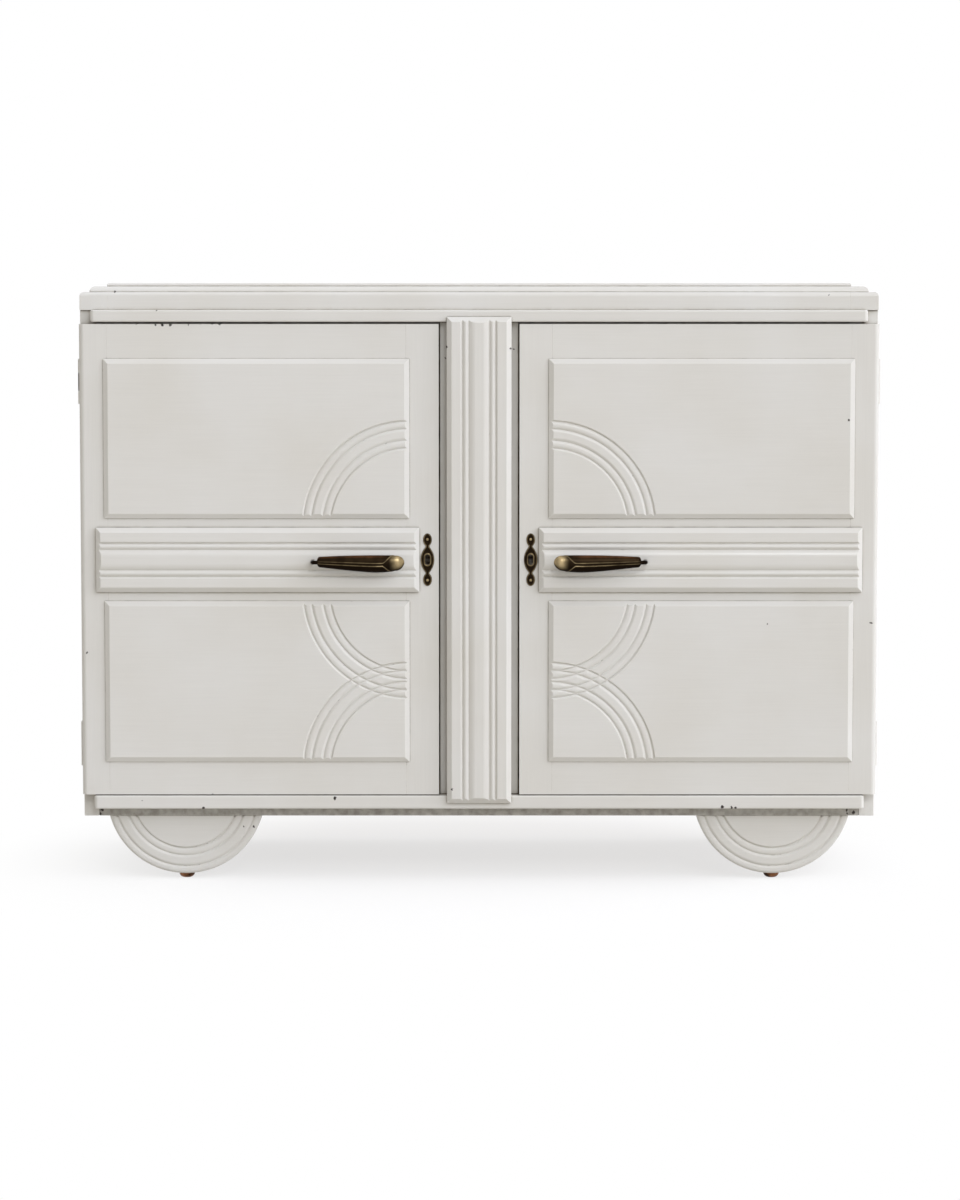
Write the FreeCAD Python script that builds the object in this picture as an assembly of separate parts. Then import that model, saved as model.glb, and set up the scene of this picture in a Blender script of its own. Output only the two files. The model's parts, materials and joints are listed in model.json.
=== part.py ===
import FreeCAD
import Part
import math
import os

V = FreeCAD.Vector
RIGHT = V(1, 0, 0)
LEFT = V(-1, 0, 0)
BACK = V(0, 1, 0)
FRONT = V(0, -1, 0)
UP = V(0, 0, 1)

# A two-door painted sideboard. All sizes are in millimetres.
# While it is drawn, x = 0 is its middle plane, y = 0 the front edge of its sides and z = 0 the floor.

# Carcass
WIDTH = 1150.0
DEPTH = 400.0
SIDE_THICKNESS = 22.0
FLOOR_THICKNESS = 22.0
RAIL_THICKNESS = 22.0
BASE_RAIL_HEIGHT = 31.4
TOP_RAIL_HEIGHT = 40.0
BACK_THICKNESS = 5.0
PARTITION_THICKNESS = 20.0
SHELF_THICKNESS = 18.0
SHELF_RISE = 300.0
SHELF_SETBACK = 40.0
CLEAT_SIZE = 18.0
CLEAT_SETBACK = 12.0

# Stepped top: a clamped board under two thinner tiers
TOP_THICKNESS = 26.0
TOP_OVERHANG = 6.0
TOP_EDGE_RADIUS = 6.0
END_CLAMP_WIDTH = 41.0
MIDDLE_TIER_THICKNESS = 8.3
MIDDLE_TIER_INSET = 13.0
MIDDLE_TIER_RADIUS = 8.0
UPPER_TIER_THICKNESS = 5.0
UPPER_TIER_INSET = 36.0
UPPER_TIER_RADIUS = 3.0

# Plain strips above and below the doors
STRIP_THICKNESS = 26.0
STRIP_INSET = 17.0
STRIP_EDGE_RADIUS = 2.5
STRIP_END_RADIUS = 6.0
TOP_STRIP_HEIGHT = 17.1
BOTTOM_STRIP_HEIGHT = 19.5
BOTTOM_STRIP_RISE = 13.4

# Feet: reeded discs in front, plain blocks behind, each on a nailed glide
FOOT_HEIGHT = 85.2
FOOT_RADIUS = 114.7
FOOT_THICKNESS = 35.0
FOOT_SETBACK = 2.0
FOOT_INSET = 147.3
FOOT_NARROW_REED = 10.6
FOOT_WIDE_REED = 16.0
REAR_FOOT_WIDTH = 110.0
BLOCK_WIDTH = 120.0
BLOCK_DEPTH = 40.0
GLIDE_HEIGHT = 7.7
GLIDE_RADIUS = 11.5
GLIDE_FLAT_RADIUS = 5.0
GLIDE_NAIL_RADIUS = 1.8
GLIDE_NAIL_LENGTH = 14.0

# Centre post, rebated for the two doors
POST_WIDTH = 124.0
POST_THICKNESS = 22.0
TONGUE_WIDTH = 88.0
SHOULDER_RISE = 8.0
SHOULDER_GAP = 1.3

# Reeded moulding of the post and of the door bands
MOULDING_WIDTH = 93.0
MOULDING_THICKNESS = 12.0
MOULDING_FACE = 11.0
MOULDING_STEP = 5.0
MOULDING_BEVEL = 7.0
MOULDING_NARROW_REED = 9.1
MOULDING_WIDE_REED = 29.6
MOULDING_WIDE_ROUNDING = 8.0
POST_LAP_TOP = 7.1
POST_LAP_BOTTOM = 10.4

# Doors
DOOR_HEIGHT = 679.9
DOOR_THICKNESS = 22.0
DOOR_GAP = 1.0
DOOR_GAP_ABOVE = 2.9
DOOR_GAP_BELOW = 1.2
DOOR_SPACING = 116.2
DOOR_EDGE_RADIUS = 8.0
HINGE_STILE_WIDTH = 40.0
LOCK_STILE_WIDTH = 47.2
TOP_RAIL_FACE = 49.8
BOTTOM_RAIL_FACE = 48.2
TENON_LENGTH = 25.0
TENON_THICKNESS = 8.0
TENON_SHOULDER = 8.0
LOWER_PANEL_HEIGHT = 233.2
PANEL_LAP = 5.0
PANEL_TONGUE = 12.0
PANEL_STEP = 2.0
PANEL_BEVEL_DEPTH = 4.5
PANEL_BEVEL_WIDTH = 7.0
BAND_MARGIN = 13.2
BAND_INNER_MARGIN = 27.9
BAND_OUTER_MARGIN = 23.0

# Reeded rings carved in the panels
RING_RADIUS = 153.0
RING_NARROW_REED = 11.0
RING_WIDE_REED = 16.4
LOW_RING_DROP = 9.0
REED_DEPTH = 2.5
REED_WALL = 2.5
REED_SIDE = 1.9
REED_SIDE_RISE = 1.4
REED_ROUNDING = 2.6
NARROW_CROWN = 0.5
WIDE_CROWN = 0.2

# Butt hinges
HINGE_LENGTH = 64.0
HINGE_OFFSET = 0.5
HINGE_TOP_INSET = 83.0
HINGE_BOTTOM_INSET = 72.0
LEAF_WIDTH = 18.0
LEAF_THICKNESS = 1.6
LEAF_GAP = 0.4
KNUCKLE_RADIUS = 3.0
MIDDLE_KNUCKLE = 26.0
KNUCKLE_GAP = 0.4
BARREL_CLEARANCE = 0.4
PIN_RADIUS = 1.3
PIN_CLEARANCE = 0.05
PIN_HEAD_RADIUS = 2.4
PIN_HEAD_HEIGHT = 1.2
LEAF_SCREW_PITCH = 22.0
LEAF_SCREW_STAGGER = 2.5

# Rim locks
LOCK_WIDTH = 40.0
LOCK_DEPTH = 14.0
LOCK_HEIGHT = 50.0
LOCK_RAISE = 3.0
LOCK_CLEARANCE = 0.6
LOCK_SCREW_INSET = 5.0
LOCK_SCREW_BITE = 6.0
BOLT_LENGTH = 28.0
BOLT_THICKNESS = 6.0
BOLT_HEIGHT = 10.0
BOLT_RAISE = 13.5
BOLT_TRAVEL = 8.0
BOLT_CLEARANCE = 0.15
MORTISE_CLEARANCE = 0.6
MORTISE_SPARE = 1.5
KEYHOLE_WIDTH = 7.0
KEYHOLE_HEIGHT = 15.0
KEYHOLE_PLATE = 0.6
STRIKE_LENGTH = 40.0
STRIKE_WIDTH = 14.0
STRIKE_THICKNESS = 1.5
STRIKE_SCREW_PITCH = 28.0

# Escutcheons
ESCUTCHEON_INSET = 16.3
ESCUTCHEON_THICKNESS = 1.6
ESCUTCHEON_HEIGHT = 76.0
ESCUTCHEON_WIDTH = 19.5
ESCUTCHEON_EYE_HEIGHT = 40.0
LOBE_WIDTH = 12.5
LOBE_HEIGHT = 17.0
NECK_WIDTH = 5.0
ESCUTCHEON_PIN_RADIUS = 0.8
ESCUTCHEON_PIN_LENGTH = 10.0
ESCUTCHEON_PIN_HEAD = 2.1
ESCUTCHEON_PIN_DOME = 1.2

# Bow pulls
PULL_LENGTH = 125.5
PULL_HEIGHT = 25.0
PULL_DEPTH = 14.0
PULL_GAP = 14.0
PULL_MARGIN = 21.0
PULL_DROP = 3.9
PULL_STUD_RADIUS = 4.5
PULL_STUD_PLACE = 30.0
PULL_TAIL_RADIUS = 3.0
PULL_TAIL_LENGTH = 9.5
PULL_SCREW_RADIUS = 2.0
PULL_SCREW_BITE = 7.0

# Screws and fits
SCREW_RADIUS = 1.6
SCREW_LENGTH = 12.0
SCREW_POINT = 3.0
SCREW_HEAD_RADIUS = 3.0
SCREW_HEAD_HEIGHT = 2.0
SCREW_CLEARANCE = 0.05
FIT = 0.1

# Places across the width, on the right-hand half
HALF = WIDTH / 2
INNER = HALF - SIDE_THICKNESS
POST_EDGE = POST_WIDTH / 2
DOOR_INNER = DOOR_SPACING / 2
LOCK_JOINT = DOOR_INNER + LOCK_STILE_WIDTH
HINGE_JOINT = HALF - HINGE_STILE_WIDTH
PANEL_INNER = LOCK_JOINT - PANEL_LAP
PANEL_OUTER = HINGE_JOINT + PANEL_LAP
BAND_INNER = DOOR_INNER + BAND_INNER_MARGIN
BAND_OUTER = HALF - BAND_OUTER_MARGIN
FOOT_X = HALF - FOOT_INSET
KEY_X = DOOR_INNER + ESCUTCHEON_INSET
CASE_INNER = POST_EDGE + LOCK_CLEARANCE
PULL_X = BAND_INNER + PULL_MARGIN
STUD_X = PULL_X + PULL_STUD_PLACE
TAIL_X = PULL_X + PULL_LENGTH + PULL_TAIL_LENGTH - PULL_TAIL_RADIUS

# Places from front to back
DOOR_BACK = -DOOR_GAP
DOOR_FACE = DOOR_BACK - DOOR_THICKNESS
BAND_CROWN = DOOR_FACE - MOULDING_THICKNESS
PULL_FACE = BAND_CROWN - PULL_GAP - PULL_DEPTH
PULL_Y = PULL_FACE + PULL_DEPTH / 2
BACK_FACE = DEPTH - BACK_THICKNESS
BOLT_Y = DOOR_BACK + LOCK_DEPTH / 2
HINGE_Y = -DOOR_GAP / 2
MIDDLE_Y = (DEPTH + PULL_FACE) / 2

# Places up the height
BASE_Z = GLIDE_HEIGHT + FOOT_HEIGHT
FLOOR_Z = BASE_Z + BASE_RAIL_HEIGHT
INSIDE_Z = FLOOR_Z + FLOOR_THICKNESS
LOW_STRIP_Z = BASE_Z + BOTTOM_STRIP_RISE
LOW_STRIP_TOP = LOW_STRIP_Z + BOTTOM_STRIP_HEIGHT
DOOR_Z = LOW_STRIP_TOP + DOOR_GAP_BELOW
DOOR_TOP = DOOR_Z + DOOR_HEIGHT
TOP_STRIP_Z = DOOR_TOP + DOOR_GAP_ABOVE
TOP_Z = TOP_STRIP_Z + TOP_STRIP_HEIGHT
TOP_RAIL_Z = TOP_Z - TOP_RAIL_HEIGHT
MIDDLE_TIER_Z = TOP_Z + TOP_THICKNESS
UPPER_TIER_Z = MIDDLE_TIER_Z + MIDDLE_TIER_THICKNESS
SHELF_Z = INSIDE_Z + SHELF_RISE
LOW_PANEL_Z = DOOR_Z + BOTTOM_RAIL_FACE
LOW_PANEL_TOP = LOW_PANEL_Z + LOWER_PANEL_HEIGHT
BAND_Z = LOW_PANEL_TOP + BAND_MARGIN
BAND_TOP = BAND_Z + MOULDING_WIDTH
HIGH_PANEL_Z = BAND_TOP + BAND_MARGIN
HIGH_PANEL_TOP = DOOR_TOP - TOP_RAIL_FACE
KEY_Z = (BAND_Z + BAND_TOP) / 2
PULL_Z = KEY_Z - PULL_DROP
BOLT_Z = KEY_Z + BOLT_RAISE
HINGE_HEIGHTS = (DOOR_Z + HINGE_BOTTOM_INSET, DOOR_TOP - HINGE_TOP_INSET)

# How far a cutting solid runs past the piece it cuts
OVER = 1.0


def box(x, y, z):
    """Block between a low and a high value on each axis."""
    return Part.makeBox(x[1] - x[0], y[1] - y[0], z[1] - z[0], V(x[0], y[0], z[0]))


def rod(radius, start, direction, length):
    """Round bar from a point along a direction."""
    return Part.makeCylinder(radius, length, start, direction)


def line(start, end):
    """Straight edge between two points."""
    return Part.LineSegment(start, end).toShape()


def mirrored(shape):
    """The same piece on the other side of the middle plane."""
    return shape.mirror(V(0, 0, 0), RIGHT)


def around(value, size):
    """Low and high value of a size centred on a place."""
    return (value - size / 2, value + size / 2)


def rounded(shape, radius, chosen):
    """Round every edge whose two ends both satisfy a test."""
    edges = [edge for edge in shape.Edges if all(chosen(vertex.Point) for vertex in edge.Vertexes)]
    return shape.makeFillet(radius, edges)


def near(first, second):
    """Whether two places are the same to within drawing accuracy."""
    return abs(first - second) < 1e-6


def save(node, *solids):
    """Write one node with the sideboard's middle over the origin."""
    whole = [solid for shape in solids for solid in shape.Solids]
    piece = whole[0] if len(whole) == 1 else Part.makeCompound(whole)
    piece.translated(V(0, -MIDDLE_Y, 0)).exportStep("parts/" + node + ".step")


def save_pair(name, *solids):
    """Write a right-hand node and its mirrored left-hand twin."""
    save("right_" + name, *solids)
    save("left_" + name, *[mirrored(solid) for solid in solids])


def reed_lines(outer, narrow, wide):
    """Groove places from the outside in: narrow, wide and narrow reed."""
    return [outer, outer - narrow, outer - narrow - wide, outer - narrow - wide - narrow]


def reed_edges(grooves, low, crowns, roundings, at):
    """Reeds from groove to groove: steep sides, rounded shoulders and a flat crown."""
    edges = []
    side_top = low - REED_SIDE_RISE
    for outer, inner, crown, rounding in zip(grooves, grooves[1:], crowns, roundings):
        rise = side_top - crown
        radius = (rounding ** 2 + rise ** 2) / (2 * rise)
        half_turn = math.asin(rounding / radius) / 2
        bend = rounding - radius * math.sin(half_turn)
        bend_depth = crown + radius * (1 - math.cos(half_turn))
        crown_ends = []
        for groove, inward in ((outer, -1), (inner, 1)):
            side = groove + inward * REED_SIDE
            crown_end = at(side + inward * rounding, crown)
            edges.append(line(at(groove, low), at(side, side_top)))
            edges.append(Part.Arc(at(side, side_top), at(side + inward * bend, bend_depth), crown_end).toShape())
            crown_ends.append(crown_end)
        edges.append(line(*crown_ends))
    return edges


def countersunk_screw(head, direction, grow=0.0):
    """Wood screw with its flat head at a point, or its hole where grow is the clearance."""
    shank = SCREW_RADIUS + grow
    neck = head + direction * LEAF_THICKNESS
    point = head + direction * SCREW_LENGTH
    cap = Part.makeCone(SCREW_HEAD_RADIUS + grow, shank, LEAF_THICKNESS, head, direction)
    body = rod(shank, neck, direction, SCREW_LENGTH - LEAF_THICKNESS)
    tip = Part.makeCone(shank, 0, SCREW_POINT + grow, point, direction)
    return cap.fuse([body, tip]).removeSplitter()


def cheese_screw(radius, seat, direction, length, grow=0.0):
    """Screw with a cylindrical head standing on a seat, or its hole where grow is the clearance."""
    head_radius = radius * SCREW_HEAD_RADIUS / SCREW_RADIUS
    head = rod(head_radius + grow, seat - direction * SCREW_HEAD_HEIGHT, direction, SCREW_HEAD_HEIGHT)
    return head.fuse(rod(radius + grow, seat, direction, length + grow)).removeSplitter()


# Hinges, drawn about their pin with the middle of their height at z = 0

def knuckle(radius, z):
    """Barrel of a given radius between two heights."""
    return rod(radius, V(0, 0, z[0]), UP, z[1] - z[0])


def leaf_screws(facing, grow=0.0):
    """Screws of one leaf: facing is 1 into the carcass and -1 into the door."""
    middle = -HINGE_OFFSET - LEAF_WIDTH / 2
    screws = []
    for step in (-1, 0, 1):
        stagger = LEAF_SCREW_STAGGER * (1 if step == 0 else -1)
        head = V(middle + stagger, facing * LEAF_GAP / 2, step * LEAF_SCREW_PITCH)
        screws.append(countersunk_screw(head, BACK * facing, grow))
    return screws


def leaf_plate(facing, grow=0.0):
    """Flat of one leaf, from its free edge to the pin."""
    depths = sorted((facing * LEAF_GAP / 2, facing * (LEAF_GAP / 2 + LEAF_THICKNESS)))
    return box((-HINGE_OFFSET - LEAF_WIDTH - grow, 0), depths, around(0, HINGE_LENGTH + 2 * grow))


def hinge_leaf(facing):
    """Leaf with its knuckles: the carcass holds the two end ones, the door the middle one."""
    end = HINGE_LENGTH / 2
    middle = (MIDDLE_KNUCKLE - KNUCKLE_GAP) / 2
    outer = (MIDDLE_KNUCKLE + KNUCKLE_GAP) / 2
    ends = ((-end, -outer), (outer, end))
    own = ends if facing == 1 else ((-middle, middle),)
    other = ((-outer, outer),) if facing == 1 else ((-end, -middle), (middle, end))
    leaf = leaf_plate(facing).cut([knuckle(KNUCKLE_RADIUS + BARREL_CLEARANCE, z) for z in other])
    leaf = leaf.fuse([knuckle(KNUCKLE_RADIUS, z) for z in own])
    bore = knuckle(PIN_RADIUS + PIN_CLEARANCE, (-end, end))
    return leaf.cut([bore] + leaf_screws(facing, SCREW_CLEARANCE)).removeSplitter()


def hinge_pin():
    """Pin with a small head resting on the top knuckle."""
    shaft = knuckle(PIN_RADIUS, around(0, HINGE_LENGTH))
    head = knuckle(PIN_HEAD_RADIUS, (HINGE_LENGTH / 2, HINGE_LENGTH / 2 + PIN_HEAD_HEIGHT))
    return shaft.fuse(head).removeSplitter()


def hinge_seat(facing):
    """Wood cut away for one leaf, its screws and the barrel."""
    reach = HINGE_LENGTH + 2 * (PIN_HEAD_HEIGHT + BARREL_CLEARANCE)
    barrel = knuckle(KNUCKLE_RADIUS + BARREL_CLEARANCE, around(0, reach))
    return [barrel, leaf_plate(facing, FIT)] + leaf_screws(facing, SCREW_CLEARANCE)


def at_hinges(shapes):
    """Shapes drawn about a pin, placed at both hinges of the right-hand door."""
    places = [V(HALF + HINGE_OFFSET, HINGE_Y, height) for height in HINGE_HEIGHTS]
    return [shape.translated(place) for place in places for shape in shapes]


# Carcass

def side_panel():
    """Right-hand side with the seats of its hinge leaves."""
    return box((INNER, HALF), (0, DEPTH), (BASE_Z, TOP_Z)).cut(at_hinges(hinge_seat(1)))


def partition():
    """Upright behind the post, notched under the back rail."""
    across = around(0, PARTITION_THICKNESS)
    board = box(across, (POST_THICKNESS, BACK_FACE), (INSIDE_Z, TOP_Z))
    front_notch = box(across, (0, RAIL_THICKNESS), (TOP_RAIL_Z, TOP_Z))
    back_notch = box(across, (BACK_FACE - RAIL_THICKNESS, BACK_FACE), (TOP_RAIL_Z, TOP_Z))
    return board.cut([front_notch, back_notch])


def shelf_cleats():
    """Bearers under the right-hand shelf, on the side and on the partition."""
    along = (SHELF_SETBACK + CLEAT_SETBACK, BACK_FACE - CLEAT_SETBACK)
    height = (SHELF_Z - CLEAT_SIZE, SHELF_Z)
    wall = PARTITION_THICKNESS / 2
    return [box((INNER - CLEAT_SIZE, INNER), along, height), box((wall, wall + CLEAT_SIZE), along, height)]


def tier(inset, z, radius):
    """Board of the stepped top, rounded along its upper front and end edges."""
    board = box((inset - HALF, HALF - inset), (inset - TOP_OVERHANG, DEPTH), z)
    upper = [edge for edge in board.Edges if near(edge.CenterOfMass.z, z[1])]
    return board.makeFillet(radius, [edge for edge in upper if not near(edge.CenterOfMass.y, DEPTH)])


def strip(z):
    """Plain strip on the carcass front, with rounded ends and eased front edges."""
    front = -STRIP_THICKNESS
    bar = box((STRIP_INSET - HALF, HALF - STRIP_INSET), (front, 0), z)
    corners = [edge for edge in bar.Edges if near(edge.Length, z[1] - z[0]) and near(edge.CenterOfMass.y, front)]
    bar = bar.makeFillet(STRIP_END_RADIUS, corners)
    long_edges = [edge for edge in bar.Edges if near(edge.CenterOfMass.y, front) and near(edge.CenterOfMass.x, 0)]
    return bar.makeFillet(STRIP_EDGE_RADIUS, long_edges)


def moulding(length):
    """Reeded moulding along z, its back at y = 0 and its face in front, bevelled all round."""
    half = MOULDING_WIDTH / 2
    low = REED_DEPTH - MOULDING_FACE
    face = -MOULDING_FACE
    outer = MOULDING_WIDE_REED / 2 + MOULDING_NARROW_REED
    grooves = reed_lines(outer, MOULDING_NARROW_REED, MOULDING_WIDE_REED)
    crowns = (face, -MOULDING_THICKNESS, face)
    roundings = (REED_ROUNDING, MOULDING_WIDE_ROUNDING, REED_ROUNDING)

    def at(across, y):
        return V(across, y, 0)

    edge = [at(half, 0), at(half, -MOULDING_STEP), at(half - MOULDING_BEVEL, face)]
    edge += [at(outer + REED_WALL, face), at(outer, low)]
    other = [V(-point.x, point.y, 0) for point in reversed(edge)]
    sides = [line(start, end) for run in (edge, other) for start, end in zip(run, run[1:])]
    sides += reed_edges(grooves, low, crowns, roundings, at)
    sides.append(line(other[-1], edge[0]))
    section = Part.Face(Part.Wire(Part.__sortEdges__(sides)))
    bar = section.extrude(UP * length)
    return bar.cut([end_bevel(0, 1), end_bevel(length, -1)])


def end_bevel(z, inward):
    """Wedge taken off one end of a moulding."""
    rise = MOULDING_THICKNESS + OVER - MOULDING_STEP
    slope = MOULDING_BEVEL / (MOULDING_FACE - MOULDING_STEP)
    half = MOULDING_WIDTH / 2 + OVER
    front = -MOULDING_THICKNESS - OVER
    corners = [V(-half, -MOULDING_STEP, z), V(-half, front, z), V(-half, front, z + inward * rise * slope)]
    return Part.Face(Part.makePolygon(corners + corners[:1])).extrude(RIGHT * 2 * half)


def post_moulding():
    """Moulding on the post, lapping over the strips above and below."""
    bottom = LOW_STRIP_TOP - POST_LAP_BOTTOM
    top = TOP_STRIP_Z + POST_LAP_TOP
    return moulding(top - bottom).translated(V(0, -STRIP_THICKNESS, bottom))


def centre_post():
    """Rebated post, shouldered up to the doors' edges, with a mortise and a plate seat for each bolt."""
    board = box(around(0, POST_WIDTH), (0, POST_THICKNESS), (INSIDE_Z, TOP_RAIL_Z))
    between = (LOW_STRIP_TOP, TOP_STRIP_Z)
    tongue = box(around(0, TONGUE_WIDTH), (-STRIP_THICKNESS, 0), between)
    shoulder = box(around(0, DOOR_SPACING - 2 * SHOULDER_GAP), (-SHOULDER_RISE, 0), between)
    cuts = [strike_box(FIT), bolt_mortise()] + strike_screws(SCREW_CLEARANCE)
    return board.fuse([tongue, shoulder]).cut(cuts + [mirrored(cut) for cut in cuts]).removeSplitter()


def strike_box(grow=0.0):
    """Strike plate as a plain block, or its seat where grow is the clearance."""
    across = (POST_EDGE - STRIKE_THICKNESS, POST_EDGE)
    return box(across, (-grow, STRIKE_WIDTH + grow), around(BOLT_Z, STRIKE_LENGTH + 2 * grow))


def bolt_mortise():
    """Room in the post for the thrown bolt."""
    deep = POST_EDGE + LOCK_CLEARANCE - BOLT_TRAVEL - MORTISE_SPARE
    depth = around(BOLT_Y, BOLT_THICKNESS + 2 * MORTISE_CLEARANCE)
    return box((deep, POST_EDGE), depth, around(BOLT_Z, BOLT_HEIGHT + 2 * MORTISE_CLEARANCE))


def strike_screws(grow=0.0):
    """Two screws through the right-hand strike plate."""
    heads = [V(POST_EDGE, BOLT_Y, z) for z in around(BOLT_Z, STRIKE_SCREW_PITCH)]
    return [countersunk_screw(head, LEFT, grow) for head in heads]


def strike_plate():
    """Plate with the bolt's opening and its screw holes."""
    return strike_box().cut([bolt_mortise()] + strike_screws(SCREW_CLEARANCE))


# Feet

def disc_foot():
    """Front foot: a reeded disc cut level under the base rail."""
    front = FOOT_SETBACK
    centre_z = GLIDE_HEIGHT + FOOT_RADIUS
    grooves = reed_lines(FOOT_RADIUS, FOOT_NARROW_REED, FOOT_WIDE_REED)
    crowns = (front + NARROW_CROWN, front + WIDE_CROWN, front + NARROW_CROWN)
    low = front + REED_DEPTH
    back = front + FOOT_THICKNESS

    def at(radius, y):
        return V(FOOT_X + radius, y, centre_z)

    corners = [at(grooves[-1], low), at(grooves[-1] - REED_WALL, front), at(0, front), at(0, back)]
    corners += [at(FOOT_RADIUS, back), at(FOOT_RADIUS, low)]
    edges = [line(start, end) for start, end in zip(corners, corners[1:])]
    edges += reed_edges(grooves, low, crowns, [REED_ROUNDING] * len(crowns), at)
    section = Part.Face(Part.Wire(Part.__sortEdges__(edges)))
    disc = section.revolve(V(FOOT_X, 0, centre_z), BACK, 360)
    beyond = 2 * (FOOT_RADIUS + OVER)
    above = box(around(FOOT_X, beyond), (front - OVER, back + OVER), (BASE_Z, BASE_Z + beyond))
    return disc.cut([above, glide_nail((front + back) / 2, SCREW_CLEARANCE)])


def rear_foot_span():
    """Front and back of a rear foot, set in from the back like the front ones from the front."""
    return (BACK_FACE - FOOT_SETBACK - FOOT_THICKNESS, BACK_FACE - FOOT_SETBACK)


def rear_foot():
    """Plain block foot under the back rail."""
    span = rear_foot_span()
    block = box(around(FOOT_X, REAR_FOOT_WIDTH), span, (GLIDE_HEIGHT, BASE_Z))
    return block.cut(glide_nail(sum(span) / 2, SCREW_CLEARANCE))


def glide_nail(y, grow=0.0):
    """Shank that holds a glide in a foot."""
    return rod(GLIDE_NAIL_RADIUS + grow, V(FOOT_X, y, GLIDE_HEIGHT), UP, GLIDE_NAIL_LENGTH + grow)


def glide(y):
    """Domed metal glide, flat where it meets the floor."""
    def at(radius, z):
        return V(FOOT_X + radius, y, z)

    turn = math.sqrt(0.5)
    shoulder = at(GLIDE_FLAT_RADIUS + (GLIDE_RADIUS - GLIDE_FLAT_RADIUS) * turn, GLIDE_HEIGHT * (1 - turn))
    dome = Part.Arc(at(GLIDE_FLAT_RADIUS, 0), shoulder, at(GLIDE_RADIUS, GLIDE_HEIGHT))
    edges = [line(at(0, GLIDE_HEIGHT), at(0, 0)), line(at(0, 0), at(GLIDE_FLAT_RADIUS, 0)), dome.toShape()]
    edges.append(line(at(GLIDE_RADIUS, GLIDE_HEIGHT), at(0, GLIDE_HEIGHT)))
    cap = Part.Face(Part.Wire(edges)).revolve(V(FOOT_X, y, 0), UP, 360)
    return cap.fuse(glide_nail(y)).removeSplitter()


def foot_blocks():
    """Glue blocks that carry the right-hand feet behind the base rails."""
    across = around(FOOT_X, BLOCK_WIDTH)
    height = (BASE_Z, FLOOR_Z)
    rail_front = BACK_FACE - RAIL_THICKNESS
    front_block = box(across, (RAIL_THICKNESS, RAIL_THICKNESS + BLOCK_DEPTH), height)
    return [front_block, box(across, (rail_front - BLOCK_DEPTH, rail_front), height)]


# Right-hand door

RAILS = {
    "bottom_rail": (DOOR_Z, LOW_PANEL_Z + PANEL_LAP),
    "middle_rail": (LOW_PANEL_TOP - PANEL_LAP, HIGH_PANEL_Z + PANEL_LAP),
    "top_rail": (HIGH_PANEL_TOP - PANEL_LAP, DOOR_TOP),
}


def tenons(grow=0.0):
    """Tenons of all the rails, from mortise to mortise."""
    across = (LOCK_JOINT - TENON_LENGTH - grow, HINGE_JOINT + TENON_LENGTH + grow)
    depth = around((DOOR_FACE + DOOR_BACK) / 2, TENON_THICKNESS + 2 * grow)
    spans = [(low + TENON_SHOULDER - grow, high - TENON_SHOULDER + grow) for low, high in RAILS.values()]
    return [box(across, depth, span) for span in spans]


def door_rail(z):
    """Rail between the stiles with a tenon at each end."""
    body = box((LOCK_JOINT, HINGE_JOINT), (DOOR_FACE, DOOR_BACK), z)
    own = [tenon for tenon in tenons() if z[0] < tenon.CenterOfMass.z < z[1]]
    return body.fuse(own).removeSplitter().cut(pull_screws(SCREW_CLEARANCE))


def door_stile(x):
    """Full-height stile with the mortises of the three rails."""
    return box(x, (DOOR_FACE, DOOR_BACK), (DOOR_Z, DOOR_TOP)).cut(tenons(FIT))


def hinge_stile():
    """Outer stile, rounded at its front corner and seated for the hinges."""
    bar = box((HINGE_JOINT, HALF), (DOOR_FACE, DOOR_BACK), (DOOR_Z, DOOR_TOP))
    bar = rounded(bar, DOOR_EDGE_RADIUS, lambda point: near(point.x, HALF) and near(point.y, DOOR_FACE))
    return bar.cut(tenons(FIT) + at_hinges(hinge_seat(-1)))


def lock_stile():
    """Inner stile with the keyhole and the holes of the lock's and plate's fixings."""
    holes = [keyhole((DOOR_FACE, DOOR_BACK))] + lock_screws(SCREW_CLEARANCE)
    return door_stile((DOOR_INNER, LOCK_JOINT)).cut(holes + escutcheon_pins(SCREW_CLEARANCE))


def keyhole(y):
    """Upright slot with round ends through a thickness."""
    reach = (KEYHOLE_HEIGHT - KEYHOLE_WIDTH) / 2
    slot = box(around(KEY_X, KEYHOLE_WIDTH), y, around(KEY_Z, 2 * reach))
    centres = [V(KEY_X, y[0], height) for height in around(KEY_Z, 2 * reach)]
    ends = [rod(KEYHOLE_WIDTH / 2, centre, BACK, y[1] - y[0]) for centre in centres]
    return slot.fuse(ends).removeSplitter()


def ring_cutter(centre_z, front):
    """Wood carved away to leave a ring of three sunk reeds about a point on the panel's inner edge."""
    def at(radius, depth):
        return V(PANEL_INNER + radius, front + depth, centre_z)

    grooves = reed_lines(RING_RADIUS, RING_NARROW_REED, RING_WIDE_REED)
    outer = grooves[0] + REED_WALL
    inner = grooves[-1] - REED_WALL
    corners = [at(grooves[-1], REED_DEPTH), at(inner, 0), at(inner, -OVER), at(outer, -OVER), at(outer, 0)]
    corners.append(at(grooves[0], REED_DEPTH))
    edges = [line(start, end) for start, end in zip(corners, corners[1:])]
    crowns = (NARROW_CROWN, WIDE_CROWN, NARROW_CROWN)
    edges += reed_edges(grooves, REED_DEPTH, crowns, [REED_ROUNDING] * len(crowns), at)
    section = Part.Face(Part.Wire(Part.__sortEdges__(edges)))
    return section.revolve(V(PANEL_INNER, 0, centre_z), BACK, 360)


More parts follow.
